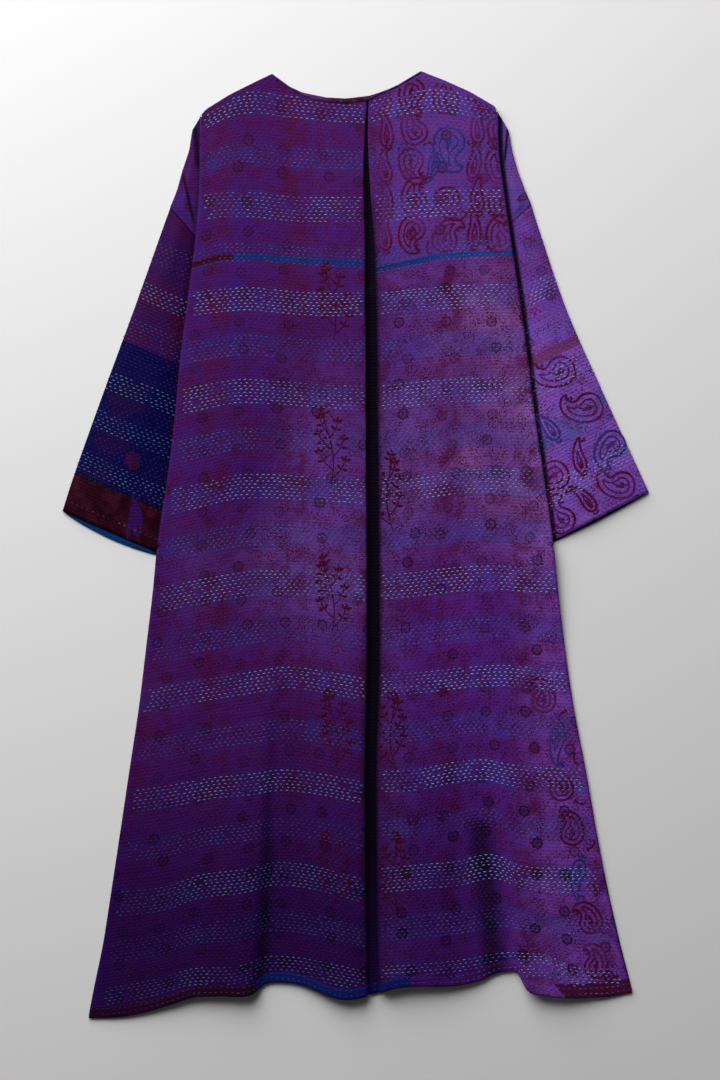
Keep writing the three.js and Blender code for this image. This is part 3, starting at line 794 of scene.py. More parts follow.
back = makeBack()
fronts = {side: makeFront(side) for side in outwards}
sleeves = {side: makeSleeve(side) for side in outwards}
print("cloth made:", len(back.data.polygons), "faces in the back")


# the rolled binding of the back neck
binding = {"width": 6.0, "least": 2.4, "height": 1.1, "stations": 150, "around": 10}


def makeBinding():
    stations, around = binding["stations"], binding["around"]
    x = np.linspace(-101, 79, stations)
    y = read(backTop, x)
    share = smoothstep(x, -80, -45) * (1 - smoothstep(x, 14, 34))
    width = lerp(binding["least"], binding["width"], share)
    rows = []
    for k in range(around):
        angle = math.pi * k / (around - 1)
        down = width * (0.5 - 0.5 * math.cos(angle))
        yy = y - down
        z = topZ(x, yy) + 0.15 + binding["height"] * math.sin(angle) * (0.9 + 0.1 * np.sin(x / 3.1))
        rows.append(np.column_stack([x, yy + 0.25, z]))
    under = np.column_stack([x, y - width / 2, topZ(x, y - width / 2) + 0.1])
    rings = np.array(rows + [under]).transpose(1, 0, 2)
    count = rings.shape[1]
    ids = np.arange(stations * count).reshape(stations, count)
    a, b = ids[:-1], np.roll(ids[:-1], -1, 1)
    c, d = np.roll(ids[1:], -1, 1), ids[1:]
    faces = [list(q) for q in np.stack([a, b, c, d], -1).reshape(-1, 4)]
    ends = [list(ids[0][::-1]), list(ids[-1])]
    mesh = bpy.data.meshes.new("neckBinding")
    mesh.from_pydata((rings.reshape(-1, 3) * mm).tolist(), [], faces + ends)
    mesh.validate()
    mesh.polygons.foreach_set("use_smooth", [True] * len(mesh.polygons))
    piece = bpy.data.objects.new("neckBinding", mesh)
    bpy.context.collection.objects.link(piece)
    faceOut(mesh)
    return piece


neckBinding = makeBinding()


# nodes are made with one call: inputs are numbers, colours or other nodes' outputs
def makerOf(tree):
    def make(kind, inputs=(), out=0, **settings):
        made = tree.nodes.new(kind)
        for key, value in settings.items():
            setattr(made, key, value)
        for key, value in dict(inputs).items():
            value = getattr(value, "socket", value)
            if isinstance(value, bpy.types.NodeSocket):
                tree.links.new(value, made.inputs[key])
            else:
                made.inputs[key].default_value = value
        return made.outputs[out]

    return make


def treeWith(name, inputs):  # a Geometry Nodes tree with the named inputs, and its group input's outputs
    tree = bpy.data.node_groups.new(name, "GeometryNodeTree")
    for label, kind in {"Geometry": "NodeSocketGeometry", **inputs}.items():
        tree.interface.new_socket(label, in_out="INPUT", socket_type=kind)
    tree.interface.new_socket("Geometry", in_out="OUTPUT", socket_type="NodeSocketGeometry")
    return tree, tree.nodes.new("NodeGroupInput").outputs, makerOf(tree)


def grown(name, mesh, tree, values):  # runs a tree on a mesh and keeps the result as a plain mesh
    piece = bpy.data.objects.new(name, mesh)
    bpy.context.collection.objects.link(piece)
    modifier = piece.modifiers.new("grow", "NODES")
    modifier.node_group = tree
    for item in tree.interface.items_tree:
        if item.in_out == "INPUT" and item.name in values:
            modifier[item.identifier] = values[item.name]
    piece.update_tag()
    done = bpy.data.meshes.new_from_object(piece.evaluated_get(bpy.context.evaluated_depsgraph_get()))
    piece.modifiers.clear()
    piece.data = done
    done.name = name
    return piece


def stitchTree():  # short beads of thread along each line, a pitch apart
    tree, given, make = treeWith("runningStitch", {
        "Pitch": "NodeSocketFloat", "Length": "NodeSocketFloat", "Width": "NodeSocketFloat",
        "Height": "NodeSocketFloat", "Wander": "NodeSocketFloat", "Kept": "NodeSocketFloat",
        "Rings": "NodeSocketInt", "Seed": "NodeSocketInt", "Thread": "NodeSocketMaterial",
    })
    line = make("GeometryNodeMeshToCurve", {"Mesh": given["Geometry"]})
    spaced = make("GeometryNodeResampleCurve", {"Curve": line, "Length": given["Pitch"]}, mode="LENGTH")
    less = make("ShaderNodeMath", {0: given["Wander"], 1: -1.0}, operation="MULTIPLY")
    along = make("FunctionNodeRandomValue", {2: less, 3: given["Wander"], "Seed": given["Seed"]}, 1)
    aside = make("ShaderNodeMath", {0: along, 1: 0.5}, operation="MULTIPLY")
    later = make("ShaderNodeMath", {0: given["Seed"], 1: 7.0}, operation="ADD")
    other = make("FunctionNodeRandomValue", {2: less, 3: given["Wander"], "Seed": later}, 1)
    shift = make("ShaderNodeCombineXYZ", {"X": other, "Y": aside})
    moved = make("GeometryNodeSetPosition", {"Geometry": spaced, "Offset": shift})
    bead = make("GeometryNodeMeshUVSphere", {"Segments": 4, "Rings": given["Rings"], "Radius": 0.5})
    size = make("ShaderNodeCombineXYZ", {"X": given["Height"], "Y": given["Width"], "Z": given["Length"]})
    turned = (0.0, math.pi / 2, 0.0)
    dash = make("GeometryNodeTransform", {"Geometry": bead, "Rotation": turned, "Scale": size})
    tangent = make("GeometryNodeInputTangent")
    facing = make("FunctionNodeAlignRotationToVector", {"Vector": tangent}, axis="X")
    tilt = make("FunctionNodeRandomValue", {2: -0.16, 3: 0.16, "Seed": given["Seed"]}, 1)
    tiltBy = make("ShaderNodeCombineXYZ", {"Z": tilt})
    twisted = make("FunctionNodeRotateRotation", {"Rotation": facing, "Rotate By": tiltBy})
    grow = make("FunctionNodeRandomValue", {2: 0.75, 3: 1.15, "Seed": later}, 1)
    chance = {"Probability": given["Kept"], "Seed": later}
    keep = make("FunctionNodeRandomValue", chance, 3, data_type="BOOLEAN")
    sewnOn = make("GeometryNodeInstanceOnPoints", {
        "Points": moved, "Selection": keep, "Instance": dash, "Rotation": twisted, "Scale": grow,
    })
    tone = make("FunctionNodeRandomValue", {2: 0.0, 3: 1.0, "Seed": later}, 1)
    kept = {"Geometry": sewnOn, "Name": "tone", "Value": tone}
    toned = make("GeometryNodeStoreNamedAttribute", kept, domain="INSTANCE")
    real = make("GeometryNodeRealizeInstances", {"Geometry": toned})
    soft = make("GeometryNodeSetShadeSmooth", {"Geometry": real})
    done = make("GeometryNodeSetMaterial", {"Geometry": soft, "Material": given["Thread"]})
    tree.links.new(done, tree.nodes.new("NodeGroupOutput").inputs[0])
    return tree


def inkTree():  # a low ridge along each line, as wide as the line's own width attribute says
    tree, given, make = treeWith("inkLine", {
        "Width": "NodeSocketFloat", "Height": "NodeSocketFloat", "Ink": "NodeSocketMaterial",
    })
    line = make("GeometryNodeMeshToCurve", {"Mesh": given["Geometry"]})
    upright = make("GeometryNodeSetCurveNormal", {"Curve": line}, mode="Z_UP")
    share = make("GeometryNodeInputNamedAttribute", {"Name": "width"}, data_type="FLOAT")
    circle = make("GeometryNodeCurvePrimitiveCircle", {"Resolution": 4, "Radius": 0.5})
    flat = make("ShaderNodeCombineXYZ", {"X": given["Width"], "Y": given["Height"], "Z": 1.0})
    section = make("GeometryNodeTransform", {"Geometry": circle, "Scale": flat})
    ridge = make("GeometryNodeCurveToMesh", {
        "Curve": upright, "Profile Curve": section, "Fill Caps": True, "Scale": share,
    })
    real = make("GeometryNodeRealizeInstances", {"Geometry": ridge})
    hard = make("GeometryNodeSetShadeSmooth", {"Geometry": real, "Shade Smooth": False})
    done = make("GeometryNodeSetMaterial", {"Geometry": hard, "Material": given["Ink"]})
    tree.links.new(done, tree.nodes.new("NodeGroupOutput").inputs[0])
    return tree


# lines are laid on the cloth that was made, from above, and cut where it ends or another piece covers it
surfaces = {"back": back, "left": sleeves["left"], "right": sleeves["right"]}
trees = {}
for key, piece in surfaces.items():
    trees[key] = BVHTree.FromPolygons(
        [tuple(v.co) for v in piece.data.vertices], [tuple(f.vertices) for f in piece.data.polygons],
    )
down = Vector((0, 0, -1))


def heightOn(key, x, y):
    hit = trees[key].ray_cast(Vector((x * mm, y * mm, 0.1)), down)[0]
    return None if hit is None else hit.z / mm


def laid(key, line, lift, keep=None, every=1):  # a run may start only at every so many points
    runs, run = [], []
    for k, (x, y) in enumerate(line):
        if not run and k % every:
            continue
        z = heightOn(key, x, y)
        if z is not None and key != "back" and heightOn("back", x, y) is not None:
            z = None
        if z is not None and keep is not None and not keep(x, y):
            z = None
        if z is None:
            runs.append(run)
            run = []
        else:
            run.append((x, y, z + lift))
    runs.append(run)
    whole = [run[:(len(run) - 1) // every * every + 1] for run in runs if run]
    return [np.array(run) for run in whole if len(run) > 1]


def lineMesh(name, lines, widths=None):
    verts, edges, width = [], [], []
    for k, line in enumerate(lines):
        first = len(verts)
        verts += [tuple(p) for p in np.asarray(line) * mm]
        edges += [(first + n, first + n + 1) for n in range(len(line) - 1)]
        width += list(widths[k]) if widths else []
    mesh = bpy.data.meshes.new(name)
    mesh.from_pydata(verts, edges, [])
    if not widths:
        width = np.ones(len(verts))
    mesh.attributes.new("width", "FLOAT", "POINT").data.foreach_set("value", np.array(width, np.float32))
    return mesh


def backRow(row, offset):  # one row of stitches right across the back
    lines = []
    for side in outwards:
        edge, fold = float(edgeAt(side, row)), float(pleatAt(side, row))
        low, high = sorted((edge - outwards[side] * 5, fold + outwards[side] * 3.2))
        first = math.ceil(low / bands["stitch"]) * bands["stitch"] + offset
        x = np.arange(first, high, bands["stitch"] / 2)
        if len(x) < 4:
            continue
        y = row + rowDrop(side, x, np.full(len(x), float(row)))

        def inside(px, py, side=side):
            onTop = py < float(read(backTop, px)) - 7
            return onTop and py > float(readSmooth(backHem, px)) + 15

        lines += laid("back", np.column_stack([x, y]), 0.12, inside, 2)
    return lines


sleeveBands = {  # height above the cuff of each band's middle
    "left": {"bright": [66, 122, 170, 286], "faint": [236, 336], "half": 13},
    "right": {"bright": [52, 177, 279], "faint": [115, 232, 330], "half": 14},
}


def sleeveRow(side, row, offset):
    corner, along, up = cuffFrame(side)
    u = np.arange(-60, 230, bands["stitch"] / 2) + offset
    wave = 1.5 * np.sin(u / 40 + row / 30)
    points = corner + u[:, None] * along + (row + wave)[:, None] * up
    return laid(side, points, 0.12, every=2)


def bandOf(row):  # which thread a row of the back is sewn with
    turns = (bands["first"] - row) / bands["pitch"]
    if abs(turns - round(turns)) * bands["pitch"] < bands["brightHalf"]:
        return "turquoise"
    if abs(turns - math.floor(turns) - 0.5) * bands["pitch"] < bands["faintHalf"]:
        return "blue"
    return "wine"


def bandOnSleeve(side, row):  # none for the dull rows of the left cuff
    there = sleeveBands[side]
    kinds = {"blue": there["faint"], "turquoise": there["bright"]}
    for kind, heights in kinds.items():
        if min(abs(row - at) for at in heights) < there["half"]:
            return kind
    return None if side == "left" and row < sleeveRows["cuff"] else "wine"


backRows = {"count": 290, "above": 32}
sleeveRows = {"count": 88, "first": 4, "cuff": 48, "shiftsFrom": 300}
rowLines = {"turquoise": [], "blue": [], "wine": []}
shiftOf = np.random.default_rng(5).uniform(-0.14, 0.14, 400) + np.tile([0.0, 0.5], 200)
for k in range(backRows["count"]):
    row = bands["first"] + backRows["above"] - bands["row"] * k
    rowLines[bandOf(row)] += backRow(row, shiftOf[k] * bands["stitch"])
for side in outwards:
    for k in range(sleeveRows["count"]):
        row = sleeveRows["first"] + bands["row"] * k
        kind = bandOnSleeve(side, row)
        if kind:
            shift = shiftOf[sleeveRows["shiftsFrom"] + k] * bands["stitch"]
            rowLines[kind] += sleeveRow(side, row, shift)
print("rows of stitches:", {kind: len(lines) for kind, lines in rowLines.items()})


# printed motifs, each a list of strokes: points on a flat sheet and the stroke's width along them
def thinEnds(count, least=0.45):
    return least + (1 - least) * np.sin(math.pi * np.linspace(0, 1, count)) ** 0.5


def drop(size, plump, bend):  # a teardrop drawn round an axis whose tip bends to one side
    t = np.linspace(0, 1, 40) ** 1.5
    heading = math.pi / 2 - math.radians(bend) * np.clip((t - 0.3) / 0.7, 0, 1) ** 1.6
    way = np.column_stack([np.cos(heading), np.sin(heading)])
    axis = np.concatenate([[(0, 0)], np.cumsum(way[:-1] * np.diff(t)[:, None], axis=0)]) * size * 1.1
    swell = np.sqrt(1 - (1 - np.minimum(t / 0.42, 1)) ** 2) * (1 - t) ** 0.75
    aside = np.column_stack([-way[:, 1], way[:, 0]]) * (plump * size * swell)[:, None]
    outline = np.concatenate([axis + aside, (axis - aside)[-2::-1]])
    return outline - [0, 0.4 * size]


def inset(line, away):  # a closed outline moved inwards, without the points that end up too near it
    way = np.gradient(line, axis=0)
    way /= np.linalg.norm(way, axis=1)[:, None]
    moved = line + np.column_stack([way[:, 1], -way[:, 0]]) * away
    nearest = np.linalg.norm(moved[:, None] - line[None], axis=2).min(axis=1)
    return moved[nearest > 0.93 * away]


def hook(start, radius, facing, turns=0.75):
    t = np.linspace(0, 1, 16)
    angle = facing + math.pi + turns * 2 * math.pi * t
    r = radius * (1 - 0.6 * t)
    centre = np.array(start) + radius * np.array([math.cos(facing), math.sin(facing)])
    return np.column_stack([centre[0] + r * np.cos(angle), centre[1] + r * np.sin(angle)])


def nested(outline, gaps, shares):  # the outline and others inside it
    lines = [outline] + [inset(outline, away) for away in gaps]
    return [(line, share * np.ones(len(line))) for line, share in zip(lines, shares) if len(line) > 5]


def paisley(size):
    outline = drop(size, 0.43, 150)
    strokes = nested(outline, (0.135 * size, 0.27 * size), (1.0, 0.75, 0.7))
    curl = hook(outline[39], 0.10 * size, math.radians(-150), 0.7)
    heart = np.array([(-0.01, -0.24), (-0.02, -0.1), (0.02, 0.04), (0.06, 0.12)]) * size
    return strokes + [(curl, 0.9 * thinEnds(16, 0.6)), (heart, 0.9 * thinEnds(4, 0.6))]


def smallDrop(size):
    outline = drop(size, 0.25, 45)
    strokes = nested(outline, (0.12 * size,), (1.0, 0.7))
    curl = hook(outline[39], 0.10 * size, math.radians(-40), 0.75)
    heart = np.array([(0, -0.26), (0, -0.16), (0.01, -0.05)]) * size
    strokes += [(curl, 0.9 * thinEnds(16, 0.6)), (heart, 0.9 * thinEnds(3, 0.6))]
    for lean in (-50, 0, 50):  # three dabs under it
        way = np.array([math.sin(math.radians(lean)), -math.cos(math.radians(lean))]) * size
        dab = np.array([way * r + [0, -0.42 * size] for r in (0.05, 0.09, 0.13)])
        strokes.append((dab, np.array([0.6, 1.3, 0.6])))
    return strokes


def scroll(size):
    t = np.linspace(-1, 1, 22)
    line = np.column_stack([0.34 * size * np.sin(2.6 * t), 0.5 * size * t + 0.1 * size * np.cos(4 * t)])
    return [(line, thinEnds(len(line)))]


def sprig(size, heavy=1.0):  # a curved stem with side twigs, each ending in buds of three dabs
    t = np.linspace(0, 1, 18)
    strokes = [(np.column_stack([0.06 * size * np.sin(4 * t), (t - 0.5) * size]), 0.55 * thinEnds(18, 0.5))]
    twigs = (
        (0.10, 1, 0.30, 35), (0.22, -1, 0.30, 42), (0.40, 1, 0.27, 40), (0.50, -1, 0.28, 38),
        (0.66, 1, 0.24, 45), (0.74, -1, 0.22, 50), (0.92, 1, 0.13, 75),
    )
    for at, side, reach, lean in twigs:
        foot = np.array([0.06 * math.sin(4 * at), at - 0.5]) * size
        turn = np.radians(lean + 35 * np.linspace(0, 1, 6))
        way = np.column_stack([side * np.cos(turn), np.sin(turn)]) * reach * size / 5
        twig = foot + np.concatenate([[(0, 0)], np.cumsum(way[:-1], axis=0)])
        strokes.append((twig, np.full(6, 0.5)))
        for place, angles in ((5, (-52, 0, 52)), (3, (-70, 65))):
            for angle in angles:
                facing = turn[place] + math.radians(angle)
                leaf = np.array([side * math.cos(facing), math.sin(facing)]) * size
                dab = [twig[place] + leaf * r for r in (0.012, 0.035, 0.062, 0.088)]
                strokes.append((np.array(dab), np.array([0.4, 1.15, 1.15, 0.3])))
    return [(line, width * heavy) for line, width in strokes]


def brushMark(size):  # a loose tassel of downward strokes
    strokes = []
    t = np.linspace(0, 1, 9)
    for k in range(7):
        spread = (k - 3) / 3
        x = (0.04 * spread + 0.09 * spread * t ** 0.7 + 0.025 * np.sin(5 * t + 2 * k)) * size
        head, foot = 0.2 - 0.09 * (k * 5 % 3), -0.5 + 0.07 * (k * 3 % 4)
        strokes.append((np.column_stack([x, lerp(head, foot, t) * size]), 1.7 * thinEnds(9, 0.3)))
    for k in range(3):
        x = (0.05 * (k - 1) + 0.03 * np.sin(3 * t + 2 * k)) * size
        strokes.append((np.column_stack([x, lerp(0.12, 0.5 - 0.1 * k, t) * size]), 0.8 * thinEnds(9, 0.3)))
    return strokes


def blob(size):  # a tulip of three petals, filled
    t = np.linspace(0, 1, 11)
    strokes = []
    for lean, reach in ((-0.3, 0.8), (0.0, 1.0), (0.3, 0.8)):
        line = np.column_stack([lean * size * t ** 1.4, (t * reach - 0.5) * size])
        strokes.append((line, np.sin(math.pi * (0.25 + 0.74 * t)) ** 0.8 * size / 4.6))
    foot = np.column_stack([np.linspace(-0.2, 0.2, 7) * size, -0.34 * size + 0 * np.arange(7)])
    return strokes + [(foot, np.full(7, size / 6.5))]


def placed(strokes, at, angle, flip=1):
    c, s = math.cos(math.radians(angle)), math.sin(math.radians(angle))
    spin = np.array([[c, s], [-s, c]])
    return [((line * [flip, 1]) @ spin + np.array(at), width) for line, width in strokes]


prints = {kind: [] for kind in ("wine", "maroon", "blue", "violet", "dull")}  # entries: surface, strokes


def onSleeve(side, u, v, angle):  # from places along and above the cuff to the picture's
    corner, along, up = cuffFrame(side)
    lean = math.degrees(math.atan2(up[1], up[0])) - 90
    return corner + u * along + v * up, angle + lean


skirtColumn = {"count": 7, "top": -186, "step": 54, "inside": 34}
yoke = {
    "rows": (376, 417, 459, 502, 545),
    "columns": (35, 67, 109, 145, 173),
    "angles": (  # of each column's motifs, from the lowest up
        (8, -4, 12, 0, 6), (150, 20, 175, 30, 160), (-10, 190, 8, 160, 20), (-6, 6, -14, 4, 0),
        (20, 165, 35, 180, 10),
    ),
}
for r, y in enumerate(yoke["rows"]):
    for c, x in enumerate(yoke["columns"]):
        if (c, r) == (2, 2):
            prints["blue"].append(("back", placed(smallDrop(34), (x - 14, y + 2), 168)))
            continue
        ink = "blue" if (c, r) == (2, 3) else "wine"
        motif = smallDrop(42) if c in (0, 3) else paisley(58 if ink == "blue" else 47)
        angle = yoke["angles"][c][r]
        at = (x + 3 * (r % 2), y + 5 * (c % 2) - (16 if ink == "blue" else 0))
        prints[ink].append(("back", placed(motif, at, angle, (-1) ** (r + c))))
        if c in (1, 3):
            beside = (at[0] + 21, at[1] - 18)
            prints[ink].append(("back", placed(scroll(15), beside, 50 * c - 30 * r)))
for k in range(skirtColumn["count"]):  # a column down the right edge of the skirt
    y = skirtColumn["top"] - skirtColumn["step"] * k
    at = (float(edgeAt("right", y)) - skirtColumn["inside"] + 5 * (k % 2), y)
    motif = smallDrop(46) if k % 3 == 1 else paisley(44)
    prints["blue" if k in (1, 4) else "wine"].append(("back", placed(motif, at, (-12, 165, 10)[k % 3], -1)))
    prints["wine"].append(("back", placed(scroll(14), (at[0] + 22, y - 20), 60 * k)))
sleevePrints = (
    (34, 180, 95, 54), (86, 176, -15, 40), (24, 126, 84, 54), (72, 124, 8, 40), (112, 120, -20, 50),
    (18, 72, 100, 50), (58, 74, -10, 40), (98, 70, 95, 54), (30, 24, 70, 50), (72, 26, 10, 40),
    (112, 22, 20, 50),
)
for k, (u, v, lean, size) in enumerate(sleevePrints):
    at, angle = onSleeve("right", u, v, lean)
    ink = "blue" if k in (3, 5) else "wine"
    motif = paisley(size) if size > 44 else smallDrop(size)
    prints[ink].append(("right", placed(motif, at, angle, (-1) ** k)))
sprigPlaces = (  # beside the pleat
    (-30, 291), (-33, 116), (-32, -65), (-27, -229), (-30, -400), (47, -232), (50, -403), (43, 60),
)
for x, y in sprigPlaces:
    prints["maroon"].append(("back", placed(sprig(88), (x, y), 4, -1 if x > 0 else 1)))
at, angle = onSleeve("left", 40, 251, 10)
prints["maroon"].append(("left", placed(sprig(40, 0.6), at, angle)))
at, angle = onSleeve("left", 82, 33, 0)
prints["violet"].append(("left", placed(brushMark(62), at, 2)))
at, angle = onSleeve("left", 54, 92, 8)
prints["dull"].append(("left", placed(blob(23), at, 0)))


def printable(x, y):  # inside the neck and shoulders, short of the folds beside the arms, and off the pleat
    fromEdge = min((x - float(edgeAt("left", y))), float(edgeAt("right", y)) - x)
    onPleat = float(pleatAt("left", y)) - 1 < x < float(pleatAt("right", y)) + 2
    return y < float(read(backTop, x)) - 4 and fromEdge > 1.5 and not onPleat


def inkMesh(name, entries):
    lines, widths = [], []
    for key, strokes in entries:
        for line, width in strokes:
            for run in laid(key, line, 0.1, printable if key == "back" else None):
                # the widths of the points that were kept
                first = int(np.argmin(np.abs(line - run[0][:2]).sum(axis=1)))
                lines.append(run)
                widths.append(np.interp(np.arange(first, first + len(run)), np.arange(len(line)), width))
    return lineMesh(name, lines, widths)


# the sewing lines along the cuffs and the hem
sewn = {"step": 3.4, "cuff": {"left": 14.0, "right": 9.0}, "hem": (5.0, 11.5)}  # how far in from the edges


def seamLines():
    lines = []
    for side in outwards:
        corner, along, up = cuffFrame(side)
        u = np.arange(0, 200, sewn["step"])
        lines += laid(side, corner + u[:, None] * along + sewn["cuff"][side] * up, 0.1)
    for away in sewn["hem"]:
        x = np.arange(-322, 336, sewn["step"])
        lines += laid("back", np.column_stack([x, readSmooth(backHem, x) + away]), 0.12)
    return lines


# materials: their nodes are written as sums of numbers
class Number:
    def __init__(self, make, socket):
        self.make = make
        self.socket = socket

    def by(self, operation, other=0.0):
        return Number(self.make, self.make("ShaderNodeMath", {0: self, 1: other}, operation=operation))

    def __add__(self, other):
        return self.by("ADD", other)

    def __sub__(self, other):
        return self.by("SUBTRACT", other)

    def __rsub__(self, other):
        return Number(self.make, self.make("ShaderNodeMath", {0: other, 1: self}, operation="SUBTRACT"))

    def __mul__(self, other):
        return self.by("MULTIPLY", other)

    def __truediv__(self, other):
        return self.by("DIVIDE", other)

    __radd__ = __add__
    __rmul__ = __mul__


class Cloth:  # places on a cloth in millimetres, the marks kept at its points, and noise over it
    def __init__(self, tree, byPlace):
        self.make = makerOf(tree)
        self.position = self.make("ShaderNodeTexCoord", out=3)
        self.x, self.y = self.split(self.position)
        self.u, self.v = self.x, self.y
        if not byPlace:
            self.u, self.v = self.split(self.make("ShaderNodeUVMap", uv_map="cut"))
        self.flat = self.make("ShaderNodeCombineXYZ", {"X": self.u, "Y": self.v})

    def number(self, kind, inputs=(), out=0, **settings):
        return Number(self.make, self.make(kind, inputs, out, **settings))

    def split(self, place):
        sides = self.make("ShaderNodeSeparateXYZ", {0: place}).node.outputs
        return [Number(self.make, sides[k]) * 1000.0 for k in (0, 1)]

    def mark(self, name):
        return self.number("ShaderNodeAttribute", out=2, attribute_name=name)

    def noise(self, size, detail=3.0, stretch=1.0, shift=0.0):
        scale = (1 / size / stretch, 1 / size, 1 / size)
        moved = {"Vector": self.flat, "Location": (shift,) * 3, "Scale": scale}
        at = self.make("ShaderNodeMapping", moved)
        looks = {"Vector": at, "Scale": 1.0, "Detail": detail, "Roughness": 0.6}
        return self.number("ShaderNodeTexNoise", looks)

    def lot(self, whole):  # a random number from 0 to 1 for each whole one
        return self.number("ShaderNodeTexWhiteNoise", {"W": whole}, noise_dimensions="1D")


def fade(value, low, high):  # 0 below low, 1 above high
    limits = {"Value": value, "From Min": low, "From Max": high}
    return Number(value.make, value.make("ShaderNodeMapRange", limits, interpolation_type="SMOOTHSTEP"))


def near(value, centre, half, soft):  # 1 within half of centre
    return 1 - fade((value - centre).by("ABSOLUTE"), half - soft / 2, half + soft / 2)


def everyBand(value, first, pitch, half, soft):  # 1 within half of first, first + pitch and so on
    turns = (value - first) / pitch + 0.5
    away = (turns.by("FRACT") - 0.5).by("ABSOLUTE") * pitch
    return 1 - fade(away, half - soft / 2, half + soft / 2)


def stretch(value, span):  # three numbers: middle, half width and softness. Two: where it is 0 and where 1
    if len(span) == 3:
        return near(value, *span)
    return fade(value, *span) if span[0] < span[1] else 1 - fade(value, *span[::-1])


def mix(share, a, b):  # dyes are three numbers or a node's output
    a, b = ((*dye, 1.0) if isinstance(dye, tuple) else dye for dye in (a, b))
    return share.make("ShaderNodeMix", {0: share, 6: a, 7: b}, 2, data_type="RGBA")


def scaled(dye, share):
    return share.make("ShaderNodeVectorMath", {0: dye, "Scale": share}, operation="SCALE")


def stronger(dye, times):
    return tuple(times * part for part in dye)


silk = {
    "violet": (0.056, 0.0078, 0.138),
    # glow: the colour of the painted sheen on the right of the back
    "lilac": (0.110, 0.031, 0.250),
    "glow": (0.250, 0.090, 0.320),
    "blue": (0.027, 0.020, 0.170),
    "wine": (0.068, 0.0035, 0.050),
    "maroon": (0.045, 0.005, 0.016),
    # deep: the violet of the painted shade low on the skirt
    "deep": (0.021, 0.0002, 0.128),
    "ring": (0.034, 0.002, 0.016),
    "navy": (0.0017, 0.0008, 0.052),
    "cuff": (0.018, 0.0003, 0.005),
    "insertBlue": (0.006, 0.022, 0.150),
    "shadow": (0.0040, 0.0007, 0.0085),
}
ringShape = {"across": 50.0, "up": 37.0, "radius": 5.6, "petals": 8.0, "wave": 0.6, "random": 0.45}


def ringFlowers(c, shift):  # small round printed flowers, one here and there
    across, up = ringShape["across"], ringShape["up"]
    at = c.make("ShaderNodeCombineXYZ", {"X": c.u / across + shift, "Y": c.v / up})
    cells = {"Vector": at, "Scale": 1.0, "Randomness": ringShape["random"]}
    cell = c.make("ShaderNodeTexVoronoi", cells, voronoi_dimensions="2D").node.outputs
    offset = c.make("ShaderNodeVectorMath", {0: at, 1: cell[2]}, operation="SUBTRACT")
    flat = c.make("ShaderNodeVectorMath", {0: offset, 1: (across, up, 0.0)}, operation="MULTIPLY")
    sides = c.make("ShaderNodeSeparateXYZ", {0: flat}).node.outputs
    turn = Number(c.make, sides[1]).by("ARCTAN2", sides[0]) * ringShape["petals"]
    rim = ringShape["radius"] + turn.by("COSINE") * ringShape["wave"]
    far = c.number("ShaderNodeVectorMath", {0: flat}, 1, operation="LENGTH")
    ring = 1 - fade((rim - far).by("ABSOLUTE"), 0.5, 1.7)
    dot = (1 - fade(far, 1.0, 2.4)) * 0.8
    disc = (1 - fade(far, 4.6, 6.2)) * 0.34
    pick = c.make("ShaderNodeSeparateColor", {0: cell[1]}).node.outputs
    there = fade(Number(c.make, pick[0]), 0.06, 0.12)
    strong = 0.5 + Number(c.make, pick[1]) * 0.42
    return ring.by("MAXIMUM", dot).by("MAXIMUM", disc) * there * strong


def speckled(c, ground, ink, strength):  # dots between the stitches, in staggered rows
    row = (c.v - (bands["first"] + 2.0)) / bands["row"]
    whole = row.by("FLOOR")
    stagger = whole.by("PINGPONG", 1.0) * 0.5 + c.lot(whole) * 0.35
    beside = ((c.u / bands["stitch"] + stagger + 0.5).by("FRACT") - 0.5).by("ABSOLUTE")
    above = (row.by("FRACT") - 0.5).by("ABSOLUTE")
    dots = 1 - fade(beside + above * 0.7, 0.16, 0.34)
    patches = fade(c.noise(26.0, 3.0, shift=21.0), 0.4, 0.62)
    grain = fade(c.noise(2.0, 1.0, shift=24.0), 0.3, 0.6)
    amount = dots * grain * ((0.25 + patches) * strength)
    return mix(amount.by("MINIMUM", 1.0), ground, ink)


foldShades = {  # beside each arm: how deep the painted shade is, and how far out it begins and ends to fade
    "left": {"deep": 0.62, "ends": (0.0, 10.0)},
    "right": {"deep": 0.96, "ends": (3.4, 7.6)},
}


def foldShade(c, side, onBack=False):  # painted shade: how dark the cloth is painted beside the folds along the arm
    outside = c.mark("outside")
    beyond = fade(outside, -0.3, 0.3)
    if onBack:
        beyond = beyond * fade(c.v, 262.0, 270.0)
    return beyond * (1 - fade(outside, *foldShades[side]["ends"])) * foldShades[side]["deep"]


def pleatShade(c):  # painted shade: how dark the cloth is painted beside and inside the pleat
    beside, depth = c.mark("beside"), c.mark("depth")
    onRight = fade(c.x, 18.0, 22.0)
    below = 1 - fade(c.y, 360.0, 470.0)
    close = (1 - fade(beside, -0.5, 6.5)) * 0.97
    wide = (1 - fade(beside, 0.0, 30.0)) * 0.22
    leftSide = (1 - fade(beside, 0.0, 11.0)) * (0.62 - fade(c.y, -250.0, 100.0) * 0.5)
    sides = close.by("MAXIMUM", wide) * onRight + leftSide * (1 - onRight)
    opened = 0.3 + fade(c.y, -560.0, -360.0) * 0.7
    inside = fade(depth, 0.5, 2.4) * opened
    return (sides * (below * (0.25 + opened * 0.75))).by("MAXIMUM", inside)


def newMaterial(name, byPlace):
    material = bpy.data.materials.new(name)
    material.use_nodes = True
    tree = material.node_tree
    return material, tree.links, tree.nodes["Principled BSDF"], Cloth(tree, byPlace)
